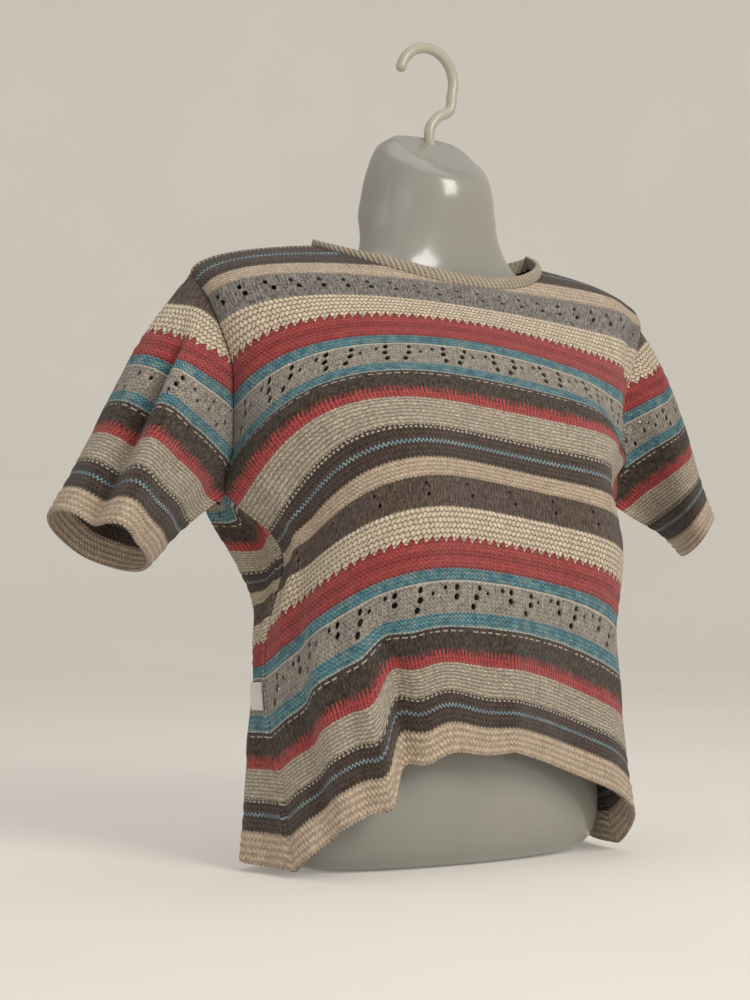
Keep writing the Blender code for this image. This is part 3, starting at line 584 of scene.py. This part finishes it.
def cut_eyelets(skins, knit_across, pattern, places):
    """Takes three by two cells out of the grid at each eyelet and draws the hole's edge to an
    oval. Returns which cells stay."""
    ups, alongs = pattern.shape
    keep = np.ones((ups - 1, alongs), bool)
    used = np.zeros((ups, alongs), bool)
    for place, row, size in places:
        away = (knit_across - place) ** 2 + (pattern - row) ** 2
        i, j = np.unravel_index(away.argmin(), away.shape)
        if away[i, j] > EYELET_MISS or not 3 <= i < ups - 4 or not 3 <= j < alongs - 3:
            continue
        block = slice(i - 1, i + 3), slice(j - 1, j + 2)
        if used[block].any():
            continue
        used[block] = True
        keep[i - 1 : i + 2, j - 1 : j + 1] = False
        for skin in skins:
            new = skin[block]
            old = new.copy()
            for a, b in np.ndindex(4, 3):
                up, over = a - 1.5, b - 1.0
                if abs(up) < 1 and over == 0:
                    continue
                angle = math.atan2(up / 1.5, over)
                goal_up = min(1.5, EYELET_UP * size) * math.sin(angle) + 1.5
                goal_over = min(1.0, EYELET_OVER * size) * math.cos(angle) + 1.0
                c, d = min(int(goal_up), 2), min(int(goal_over), 1)
                s, t = goal_up - c, goal_over - d
                low = old[c, d] * (1 - t) + old[c, d + 1] * t
                high = old[c + 1, d] * (1 - t) + old[c + 1, d + 1] * t
                new[a, b] = low * (1 - s) + high * s
    return keep


def make_mesh(name, points, faces, sharp_degrees):
    data = bpy.data.meshes.new(name)
    data.from_pydata(points, [], faces)
    data.shade_smooth()
    data.set_sharp_from_angle(angle=math.radians(sharp_degrees))
    return data


def ring_faces(rings, sides, start=0, inwards=False):
    """Quads between closed rings of points that follow each other."""
    faces = []
    for low in range(start, start + (rings - 1) * sides, sides):
        for j in range(sides):
            k = (j + 1) % sides
            face = (low + j, low + sides + j, low + sides + k, low + k)
            faces.append((face[0], *face[:0:-1]) if inwards else face)
    return faces


def thin_mesh(name, wall, heights, thickness, knit_across, pattern, places=(), wrap=0.0):
    """A closed thin wall on the grid, with rims at its edges and round its eyelets. Its UV map
    holds the place across and the pattern row, in centimetres."""
    outer = wall.points + wall.normals * (heights * CM)[..., None]
    inner = wall.points - wall.normals * thickness
    keep = cut_eyelets((outer, inner), knit_across, pattern, places)
    ups, alongs = pattern.shape
    if not wall.closed_round:
        keep[:, -1] = False
    i, j = np.nonzero(keep)
    beside = (j + 1) % alongs
    corners = ((i, j), (i, beside), (i + 1, beside), (i + 1, j))
    here, over = knit_across[i, j], np.where(beside == 0, knit_across[i, 0] + wrap, knit_across[i, beside])
    count = ups * alongs
    face = np.stack([up * alongs + along for up, along in corners], axis=1)
    rows = np.stack([pattern[corner] for corner in corners], axis=1)
    face_uv = np.stack([np.stack([here, over, over, here], axis=1), rows], axis=2)
    up, along = ups // 2, alongs // 3
    side, rise = (outer[spot] - outer[up, along] for spot in ((up, along + 1), (up + 1, along)))
    outwards = np.cross(side, rise) @ wall.normals[up, along] > 0
    beyond = np.pad(keep, ((1, 1), (0, 0)))
    beyond = np.pad(beyond, ((0, 0), (1, 1)), "wrap" if wall.closed_round else "constant")
    faces, uvs = [face, face[:, ::-1] + count], [face_uv, face_uv[:, ::-1]]
    for edge, (up, along) in enumerate(((0, 1), (1, 2), (2, 1), (1, 0))):
        open_here = ~beyond[i + up, j + along]
        a, b = (face[open_here, corner % 4] for corner in (edge, edge + 1))
        at_a, at_b = (face_uv[open_here, corner % 4] for corner in (edge, edge + 1))
        faces.append(np.stack([b, a, a + count, b + count], axis=1))
        uvs.append(np.stack([at_b, at_a, at_a, at_b], axis=1))
    faces, uvs = np.concatenate(faces), np.concatenate(uvs)
    if not outwards:
        faces, uvs = faces[:, ::-1], uvs[:, ::-1]
    points = np.concatenate([outer.reshape(-1, 3), inner.reshape(-1, 3)])
    found, renamed = np.unique(faces, return_inverse=True)
    data = make_mesh(name, points[found].tolist(), renamed.reshape(faces.shape).tolist(), 60)
    data.uv_layers.new(name="knit").uv.foreach_set("vector", uvs.reshape(-1).astype(np.float32))
    return data


def put(name, data):
    """An object in the scene that shows the data."""
    thing = bpy.data.objects.new(name, data)
    SCENE.collection.objects.link(thing)
    return thing


def add_piece(name, data, finish, slot, *nodes):
    piece = put(name, data)
    piece.data.materials.append(finish)
    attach(piece, "root")
    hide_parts(*nodes)
    return piece


class Value:
    """A number or colour at each point of a surface, from a socket of a material's nodes."""

    def __init__(self, nodes, socket):
        self.nodes = nodes
        self.socket = socket

    def math(self, operation, *values):
        return self.nodes.math(operation, self, *values)

    def __add__(self, other):
        return self.math("ADD", other)

    def __sub__(self, number):
        return self.math("ADD", -number)

    def __mul__(self, other):
        return self.math("MULTIPLY", other)

    def scaled(self, share, offset):
        return self.math("MULTIPLY_ADD", share, offset)

    def rest(self):
        """What it leaves of 1."""
        return self.nodes.math("SUBTRACT", 1.0, self)

    def near(self, middle, reach):
        return self.math("COMPARE", middle, reach)

    def over(self, number):
        return self.math("GREATER_THAN", number)

    def floor(self):
        return self.math("FLOOR")

    def fract(self):
        return self.math("FRACT")

    def sign(self):
        """-1 and 1 in turn for whole numbers."""
        return self.math("FLOORED_MODULO", 2.0).scaled(2.0, -1.0)

    def in_repeat(self):
        """A row of the pattern within its repeat."""
        return (self * (1 / REPEAT)).floor().scaled(-REPEAT, self)

    def wave(self, period, shift=0.0):
        """0 to 1 and back over a period."""
        return self.scaled(TURN / period, shift).math("COSINE").scaled(0.5, 0.5)

    def teeth(self, period):
        """A zigzag from 0 to 1."""
        return self.math("PINGPONG", period / 2) * (2 / period)

    def dashed(self, period, share):
        """1 for a share of each period, then 0."""
        return (self * (1 / period)).fract().math("LESS_THAN", share)


class Nodes:
    """A material's node tree, built from values, numbers and colours."""

    def __init__(self, name):
        self.material = bpy.data.materials.new(name)
        self.material.use_nodes = True
        self.tree = self.material.node_tree
        self.shader = self.tree.nodes["Principled BSDF"]

    def feed(self, socket, value):
        if isinstance(value, Value):
            self.tree.links.new(value.socket, socket)
        else:
            socket.default_value = (*value, 1.0) if isinstance(value, tuple) else value

    def add(self, kind, inputs=(), output=0, **settings):
        """Adds a node and returns one of the values that it gives."""
        node = self.tree.nodes.new("ShaderNode" + kind)
        for key, value in settings.items():
            setattr(node, key, value)
        for key, value in dict(inputs).items():
            self.feed(node.inputs[key], value)
        return Value(self, node.outputs[output])

    def math(self, operation, *values):
        return self.add("Math", enumerate(values), operation=operation)

    def point(self, x, y):
        return self.add("CombineXYZ", {0: x, 1: y})

    def noise(self, place, scale, detail=2.0, roughness=0.5, output=0):
        inputs = {"Vector": place, "Scale": scale, "Detail": detail, "Roughness": roughness}
        return self.add("TexNoise", inputs, output)

    def parts(self, kind, whole):
        return [Value(self, part) for part in self.add(kind, {0: whole}).socket.node.outputs]

    def knit_place(self):
        """The place across and the row of the pattern, in centimetres."""
        return self.parts("SeparateXYZ", self.add("UVMap", uv_map="knit"))[:2]

    def ramp(self, value, stops, interpolation="LINEAR"):
        colour = self.add("ValToRGB", {0: value})
        band = colour.socket.node.color_ramp
        band.interpolation = interpolation
        while len(band.elements) < len(stops):
            band.elements.new(1.0)
        for element, (place, _) in zip(band.elements, stops):
            element.position = place
        for element, (_, shade) in zip(band.elements, stops):
            element.color = (*shade, 1.0)
        return colour

    def bands(self, row, column):
        """A column of the bands' table by the row of the repeat."""
        stops = [(STARTS[band[0]] / REPEAT, band[column]) for band in BANDS]
        return self.ramp(row * (1 / REPEAT), stops, "CONSTANT")

    def blend(self, factor, a, b, blend_type="MIX"):
        return self.add("Mix", {0: factor, 6: a, 7: b}, 2, data_type="RGBA", blend_type=blend_type)

    def lit(self, colour, light):
        """The colour made darker where light is less than 1."""
        grey = self.add("CombineColor", {0: light, 1: light, 2: light})
        return self.blend(1.0, colour, grey, "MULTIPLY")

    def finish(self, colour, height, strength, distance, settings):
        normal = self.add("Bump", {"Height": height, "Strength": strength, "Distance": distance})
        for name, value in {"Base Color": colour, "Normal": normal, **settings}.items():
            self.feed(self.shader.inputs[name], value)
        return self.material


CREAM_LINE = (0.7, 0.64, 0.54)
BROWN_HAIRS = ((0.34, (0.19, 0.105, 0.105)), (0.5, (0.22, 0.15, 0.11)), (0.66, (0.15, 0.13, 0.075)))
BLUE_YARNS = ((0.36, (0.1, 0.27, 0.35)), (0.5, (0.17, 0.43, 0.52)), (0.64, (0.34, 0.5, 0.5)))
PALE_YARNS = ((0.35, (0.3, 0.34, 0.44)), (0.5, (0.22, 0.46, 0.56)), (0.65, (0.4, 0.56, 0.58)))
WALE = 0.3  # width of a stitch, in centimetres as all that follows
GARTER_RIDGE = 0.34
MOSS_COURSE = 0.24
MOSS_STROKE = 0.44
VEE_COURSE = 0.28
KNOT_WIDTH = 0.35
KNOT_TIER = 0.342
DYED_STITCH = (0.26, 0.25)


def knit_material():
    n = Nodes("knit_yarns")
    across, pattern = n.knit_place()
    spot = n.point(across, pattern)
    slow = n.noise(spot, 0.9)
    fine = n.noise(spot, 9.0, 3.0, 0.65)
    fibres = n.noise(n.point(across * 4.0, pattern * 1.3), 2.6, 3.0, 0.7)
    uneven = n.parts("SeparateColor", n.noise(spot, 2.2, output=1))
    row = pattern.in_repeat()
    side = across + uneven[0] * 0.16 - 0.08
    level = row + uneven[1] * 0.12 - 0.06
    wale = side.teeth(WALE)

    # Edges of the bands: deep teeth under the bobbles, combed ones over the ticks
    deep = row.near(STARTS["bobble"], 0.45) * side.teeth(0.7).scaled(0.44, -0.22)
    comb = row.near(ENDS["ticks"], 0.35) * (wale.over(0.5) * uneven[2].scaled(0.55, 0.02) - 0.1)
    moved = pattern + deep + comb + wale.scaled(0.1, -0.05) + fine.scaled(0.24, -0.12)
    band = moved.in_repeat()
    grey = band.over(STARTS["pointelle"]) * pattern.over(GREY_FROM)
    colour = n.blend(grey, n.bands(band, 2), GREY_POINTELLE)
    is_garter, is_moss, is_vee = n.parts("SeparateColor", n.bands(band, 4))
    is_ribs, is_bobble, is_hairy = n.parts("SeparateColor", n.bands(band, 5))

    streaks = n.noise(n.point(across * 2.6, row * 0.9), 2.0, 2.0, 0.6)
    # Garter: zigzag ridges of slanting strokes
    ridge = (level + side.teeth(0.33) * 0.12).wave(GARTER_RIDGE)
    stroke = (side + level * 0.8).wave(0.3)
    garter = (ridge * stroke.scaled(0.65, 0.35)).scaled(0.7, 0.28)
    # Moss: courses of short strokes that slant to one side and then to the other
    courses = (level + streaks * 0.2) * (1 / MOSS_COURSE)
    slant = courses.floor().sign()
    in_course = courses.fract()
    seed = (side + slant * in_course * 0.22 + slant * 0.07 + streaks * 0.5).wave(MOSS_STROKE)
    moss = in_course.wave(1.0, math.pi) * seed.scaled(0.6, 0.4) * 0.75 + fine * 0.6 - 0.14
    # Vees: two slanting legs to a stitch
    chevron = (level + wale * 0.2).wave(VEE_COURSE)
    vee = chevron * wale.wave(1.0, math.pi).scaled(0.65, 0.35)
    ribs = side.wave(0.26).math("POWER", 0.8)
    # Bobbles: staggered tiers of small slanting knots
    tiers = (level - STARTS["bobble"]) * (1 / KNOT_TIER)
    tier = tiers.floor()
    in_tier = tiers.fract().scaled(2.0, -1.0)
    knots = side * (1 / KNOT_WIDTH) + tier * 0.5 + in_tier * tier.sign() * 0.16
    knot = knots.fract().scaled(2.0, -1.0)
    wide, high = knot * knot, in_tier * in_tier
    outside = wide * high * 1.5 + (wide * wide * 0.45 + high * high * 0.25)
    bobble = outside.rest().math("MAXIMUM", 0.0)
    hairy = fibres * 3.2 + streaks * 2.6 - 2.65
    height = is_garter * garter + is_moss * moss + is_vee * vee
    height = height + is_ribs * ribs + is_bobble * bobble + is_hairy * hairy

    # Painted shade: darker between the stitches, where the knitting's relief is low, and each stitch uneven
    # in colour
    stitch = n.point(*((a * (1 / b)).floor() for a, b in zip((side, level), DYED_STITCH)))
    dyed = n.add("TexWhiteNoise", {"Vector": stitch}, noise_dimensions="2D")
    # painted highlight on the crests of the coral band's ridges
    crest_highlight = row.near(12.7, 0.98) * (row - 12.2).wave(1.0) * 0.22
    mottle = fine * 1.1 + dyed * 0.25 + slow * 0.25
    # painted shade and highlight from the relief, times the stitches' uneven colour
    shade = (height.scaled(0.85, 0.32) + crest_highlight) * (mottle + 0.12)
    colour = n.blend(is_hairy * grey.rest() * 0.4, colour, n.ramp(slow, BROWN_HAIRS))
    blue = band.near(8.33, 0.47) + band.near(11.3, 0.4)
    colour = n.blend(blue * 0.85, colour, n.ramp(n.noise(spot, 1.7), BLUE_YARNS))
    # the painted shade and highlight darken and lighten the yarn's colour
    colour = n.lit(colour, shade.math("MAXIMUM", 0.1))

    # Thin lines of pale yarn: dots, dashes, plain courses and the blue zigzag
    wavy = row + slow * 0.12 - 0.06
    dots = wavy.near(3.28, 0.055) * side.dashed(0.36, 0.5)
    dashes = wavy.near(7.6, 0.05) * side.dashed(0.58, 0.62) * across.dashed(3.1, 0.88)
    course = (wavy.near(7.92, 0.05) + wavy.near(10.86, 0.055)) * wale.scaled(0.5, 0.5)
    lines = (dots + dashes + course).math("MINIMUM", 1.0) * fine.scaled(0.8, 0.35)
    colour = n.blend(lines.math("MINIMUM", 1.0), colour, CREAM_LINE)
    zigzag = (row + side.teeth(0.3) * 0.2).near(2.6, 0.05) * fine.scaled(0.9, 0.4)
    colour = n.blend(zigzag.math("MINIMUM", 1.0), colour, n.ramp(n.noise(spot, 0.55, 1.0), PALE_YARNS))

    settings = {"Roughness": 0.95, "Specular IOR Level": 0.15, "Sheen Weight": 0.2, "Sheen Roughness": 0.5}
    return n.finish(colour, height + fine * 0.45 + fibres * 0.2, 0.9, 0.0013, settings)


def rib_material():
    n = Nodes("rib_yarn")
    across, row = n.knit_place()
    spot = n.point(across, row)
    fine = n.noise(spot, 7.0, 3.0, 0.6)
    ribs = (across + row * RIB_LEAN).wave(RIB_PITCH)
    loops = (row + across.teeth(RIB_PITCH) * 0.1).wave(0.26)
    height = ribs * 0.7 + loops * 0.3
    yarn = n.ramp(n.noise(spot, 0.8), ((0.3, (0.52, 0.44, 0.34)), (0.7, (0.6, 0.52, 0.41))))
    # painted shade in the grooves between the cords, times uneven tone
    colour = n.lit(yarn, height.scaled(0.45, 0.42) * fine.scaled(0.7, 0.62))
    settings = {"Roughness": 0.9, "Specular IOR Level": 0.25, "Sheen Weight": 0.25}
    return n.finish(colour, height + fine * 0.3, 0.7, 0.001, settings)


def label_material():
    n = Nodes("label_tape")
    across, row = n.knit_place()
    weave = across.wave(0.07) * row.wave(0.07)
    slow = n.noise(n.point(across, row), 1.5)
    tape = n.ramp(slow, ((0.3, (0.62, 0.61, 0.58)), (0.7, (0.68, 0.67, 0.64))))
    # painted shade between the threads of the weave
    return n.finish(n.lit(tape, weave.scaled(0.12, 0.92)), weave, 0.4, 0.0002, {"Roughness": 0.55})


def plastic_material(name, light_colour, dull_colour, roughness):
    n = Nodes(name)
    spot = n.add("TexCoord", output="Object")
    cloudy = n.noise(spot, 9.0, 3.0, 0.55)
    specks = n.noise(spot, 160.0, 2.0, 0.6)
    colour = n.ramp(cloudy, ((0.3, dull_colour), (0.7, light_colour)))
    rough = specks.scaled(0.1, roughness - 0.05)
    settings = {"Roughness": rough, "Coat Weight": 0.35, "Coat Roughness": 0.12}
    return n.finish(colour, cloudy, 0.1, 0.004, settings)


FORM_SIDES_FINE = 160
FORM_STEPS = 8  # fine sections to one of the table's
CAP_RINGS = 6
FLANGE = 1.2  # the neck's flat back spreads this much wider at its foot
FLANGE_FOOT = 42.2
FLANGE_FULL = 45.2
FLANGE_TOP = 48.8


def form_ring(section, sides):
    z, half_width, front, back, roundness, tilt = section
    angle = circle(sides)
    widest = back + (front - back) * FORM_WIDEST
    ahead = np.clip(np.cos(angle), 0, 1) ** roundness * (front - widest)
    behind = np.clip(-np.cos(angle), 0, 1) ** FORM_BACK_POWER * (widest - back)
    x = half_width * np.sin(angle)
    depth = widest + ahead - behind
    chest = bump(np.abs(x), APEX_X, BUST_REACH) * bump(z, BUST_Z, BUST_REACH) * (np.cos(angle) > 0)
    depth = depth + BUST_DEPTH * chest
    height = z + tilt * (front - depth) / (front - back)
    rear = np.clip(0.35 - 1.1 * np.cos(angle), 0, 1) * np.sin(angle)
    begun = 1 - fade(z, FLANGE_FOOT, FLANGE_FULL)
    x = x + rear * FLANGE * begun * np.clip((FLANGE_TOP - z) / 4, -0.5, 1)
    return np.stack([x, -depth, height], axis=-1) * CM


def build_form(finish):
    """The form's shell from its flat bottom to the slanted cap."""
    table = np.array(FORM_SECTIONS, float)
    knots = np.arange(len(table), dtype=float)
    at = np.linspace(0, knots[-1], FORM_STEPS * (len(table) - 1) + 1)
    sections = np.stack([smooth_between(knots, column, at) for column in table.T], axis=1)
    sections[:, 0] = np.maximum(sections[:, 0], 0)
    rings = [form_ring(section, FORM_SIDES_FINE) for section in sections]
    bottom, top = rings[0].mean(axis=0), rings[-1].mean(axis=0)
    shrink = [1 - (k + 1) / (CAP_RINGS + 1) for k in range(CAP_RINGS)]
    under = [bottom + (rings[0] - bottom) * share for share in shrink[::-1]]
    over = [top + (rings[-1] - top) * share for share in shrink]
    rings = np.array(under + rings + over)
    rings[..., 2] = np.maximum(rings[..., 2], 0)
    count, sides = rings.shape[:2]
    faces = ring_faces(count, sides, inwards=True)
    points = rings.reshape(-1, 3).tolist() + [bottom.tolist(), top.tolist()]
    for side in range(sides):
        other = (side + 1) % sides
        faces.append((other, side, count * sides))
        faces.append(((count - 1) * sides + side, (count - 1) * sides + other, count * sides + 1))
    data = make_mesh("form_shell", points, faces, 50)
    return add_piece("form_shell", data, finish, "plastic", "torso_form")


HOOK_SIDES = 28
HOOK_FINE = 150
HOOK_TIP = 0.4  # centimetres over which the end rounds off


def build_hook(finish):
    """The hook as a rod of round section with a rounded end."""
    bend = np.linspace(HOOK_START, HOOK_END, HOOK_STEPS)[:, None]
    bend = np.array(HOOK_CENTRE) + HOOK_RADIUS * np.concatenate([np.cos(bend), np.sin(bend)], axis=1)
    points = np.concatenate([HOOK_STEM, bend])
    steps = np.concatenate([[0], np.cumsum(np.linalg.norm(np.diff(points, axis=0), axis=1))])
    at = np.linspace(0, steps[-1], HOOK_FINE)
    x, z = (smooth_between(steps, points[:, k], at) for k in range(2))
    tangent = unit(np.stack([np.gradient(x, at), np.gradient(z, at)], axis=1))
    left = steps[-1] - at
    radius = HOOK_WIRE / CM * np.sqrt(np.clip(1 - np.clip(1 - left / HOOK_TIP, 0, 1) ** 2, 0.0004, 1))
    turn = circle(HOOK_SIDES)
    rings = np.zeros((HOOK_FINE, HOOK_SIDES, 3))
    rings[..., 0] = x[:, None] - tangent[:, 1:] * np.cos(turn) * radius[:, None]
    rings[..., 1] = -HOOK_DEPTH + np.sin(turn) * radius[:, None]
    rings[..., 2] = z[:, None] + tangent[:, :1] * np.cos(turn) * radius[:, None]
    rings = rings * CM
    last = HOOK_FINE * HOOK_SIDES - 1
    faces = ring_faces(HOOK_FINE, HOOK_SIDES)
    faces += [tuple(range(HOOK_SIDES)), tuple(range(last, last - HOOK_SIDES, -1))]
    data = make_mesh("hook_rod", rings.reshape(-1, 3).tolist(), faces, 60)
    add_piece("hook_rod", data, finish, "plastic", "hook")


LABEL_PLACE = ((-0.9974, -0.9103), (9.12, 10.63))  # across and rows of the back panel
LABEL_LINES = 13
LABEL_CURL = 0.05
LABEL_OFF = 0.1
LABEL_WALL = 0.06


def build_label(panel, finish):
    across, row = np.meshgrid(*(np.linspace(*ends, LABEL_LINES) for ends in LABEL_PLACE))
    points = panel.surface(across, row)
    normals = panel.normal(across, row, panel.surface)
    wall = Wall("side_label", points + normals * (LABEL_OFF + LABEL_WALL), normals, ())
    place = across * panel.lengths.mean() / 2
    free, sewn = LABEL_PLACE[0]
    curl = LABEL_CURL * ((across - sewn) / (free - sewn)) ** 2
    data = thin_mesh("label_tab", wall, curl, LABEL_WALL * CM, place, row)
    return add_piece("label_tab", data, finish, "label_cloth", "side_label")


NECKBAND_SWELL = 0.1
RIB_HEIGHT = 0.04
RIB_PITCH = 0.42
RIB_LEAN = 0.45  # the cords slant by this much of their height


def build_cloth(panels, knit, rib):
    made = [fine_panel(panel) for panel in panels]
    sleeves = [fine_sleeve(name, panels) for name in ("sleeve_right", "sleeve_left")]
    band = fine_neckband(panels)
    share_seams([item[0] for item in made + sleeves] + [band[0]])
    pieces = {}
    for (wall, across, pattern, worn), repeats in zip(made + sleeves, (2, 2, 1, 1)):
        height = relief(across, pattern) * worn
        wrap = SLEEVE_ROUND if wall.closed_round else 0.0
        places = eyelet_places((across.min(), wrap or across.max()), repeats)
        data = thin_mesh(wall.name + "_knit", wall, height, WALL, across, pattern, places, wrap)
        pieces[wall.name] = add_piece(wall.name + "_knit", data, knit, "knit", wall.name)
    wall, across, pattern, loop = band
    rise = pattern / NECKBAND_HEIGHT
    ribs = np.cos(TURN * (across + pattern * RIB_LEAN) / RIB_PITCH)
    ribs = ribs * RIB_HEIGHT * np.clip(rise / 0.2, 0, 1)
    swell = NECKBAND_SWELL * np.sin(math.pi * rise)
    data = thin_mesh("neckband_rib", wall, ribs + swell, WALL, across, pattern, (), loop)
    pieces["neckband"] = add_piece("neckband_rib", data, rib, "rib", "neckband")
    pieces["loop"] = loop
    return pieces


AZIMUTH = math.radians(33)
RIGHT = Vector((math.cos(AZIMUTH), -math.sin(AZIMUTH), 0))
FORWARD = Vector((math.sin(AZIMUTH), math.cos(AZIMUTH), 0))
UP = Vector((0, 0, 1))


def placed(right, back, up):
    """A point by the photograph's view: to the right, towards the camera and up."""
    return RIGHT * right - FORWARD * back + UP * up


def build_camera():
    data = bpy.data.cameras.new("camera")
    data.sensor_fit = "HORIZONTAL"
    data.sensor_width = 36
    data.lens = 98.69
    data.shift_y = 0.1
    camera = put("camera", data)
    matrix = Matrix((RIGHT, UP, -FORWARD)).transposed().to_4x4()
    matrix.translation = placed(-0.04175, 1.48, 0.203)
    camera.matrix_world = matrix
    bpy.context.scene.camera = camera


def build_light(name, place, target, size, energy, colour):
    data = bpy.data.lights.new(name, "AREA")
    data.shape = "RECTANGLE"
    data.size, data.size_y = size
    data.energy = energy
    data.color = colour
    light = put(name, data)
    light.location = place
    light.rotation_euler = (Vector(target) - Vector(place)).to_track_quat("-Z", "Y").to_euler()


FLOOR_RADIUS = 2.6
FLOOR_SIDES = 96
WALL_BEND = 1.4  # the radius in which the floor curves up into the wall
WALL_TOP = 4.5
WALL_GLOW = 0.3  # the studio's wall is lit evenly


def build_stage():
    """A pale round floor that curves up into a wall all round, and soft light."""
    bend = np.linspace(0, math.pi / 2, 14)[1:]
    profile = [(r, 0.0) for r in np.linspace(0.3, FLOOR_RADIUS, 8)]
    profile += [(FLOOR_RADIUS + WALL_BEND * math.sin(a), WALL_BEND * (1 - math.cos(a))) for a in bend]
    profile += [(FLOOR_RADIUS + WALL_BEND, z) for z in (2.5, WALL_TOP)]
    points = [(0, 0, 0)]
    points += [(r * math.cos(a), r * math.sin(a), z) for r, z in profile for a in circle(FLOOR_SIDES)]
    faces = [(0, 1 + j, 1 + (j + 1) % FLOOR_SIDES) for j in range(FLOOR_SIDES)]
    faces += ring_faces(len(profile), FLOOR_SIDES, start=1)
    floor = put("studio_floor", make_mesh("studio_floor", points, faces, 180))
    n = Nodes("studio_paint")
    cloudy = n.noise(n.add("TexCoord", output="Object"), 3.0, 3.0)
    colour = n.ramp(cloudy, ((0.3, (0.66, 0.63, 0.59)), (0.7, (0.69, 0.66, 0.62))))
    settings = {"Roughness": 0.9, "Emission Color": (0.66, 0.63, 0.58), "Emission Strength": WALL_GLOW}
    floor.data.materials.append(n.finish(colour, cloudy, 0.05, 0.001, settings))
    target = (0.0, 0.0, 0.28)
    build_light("key", placed(1.15, 1.3, 1.35), target, (0.7, 0.9), 22, (1.0, 0.96, 0.9))
    build_light("fill", placed(-1.6, 1.6, 0.9), target, (1.6, 1.6), 6, (0.97, 0.98, 1.0))
    build_light("top", (0.0, 0.0, 2.6), target, (2.0, 2.0), 11, (1.0, 0.98, 0.95))
    world = bpy.data.worlds.new("studio")
    world.use_nodes = True
    background = world.node_tree.nodes["Background"]
    background.inputs[0].default_value = (0.9, 0.88, 0.85, 1)
    background.inputs[1].default_value = 0.3
    SCENE.world = world
    SCENE.view_settings.view_transform = "Standard"


FRONT = Panel("front", columns(FRONT_MIDDLE, FRONT_COLUMNS), FRONT_FOLDS, FRONT_NECK_ROW)
BACK = Panel("back", columns(BACK_MIDDLE, BACK_COLUMNS), BACK_FOLDS, BACK_NECK_ROW)
PIECES = build_cloth((FRONT, BACK), knit_material(), rib_material())
LABEL = build_label(BACK, label_material())
FORM = build_form(plastic_material("form_plastic", (0.32, 0.315, 0.285), (0.27, 0.265, 0.24), 0.24))
build_hook(plastic_material("hook_plastic", (0.46, 0.43, 0.36), (0.38, 0.35, 0.29), 0.38))
PIECES["loop"] * CM
build_camera()
build_stage()
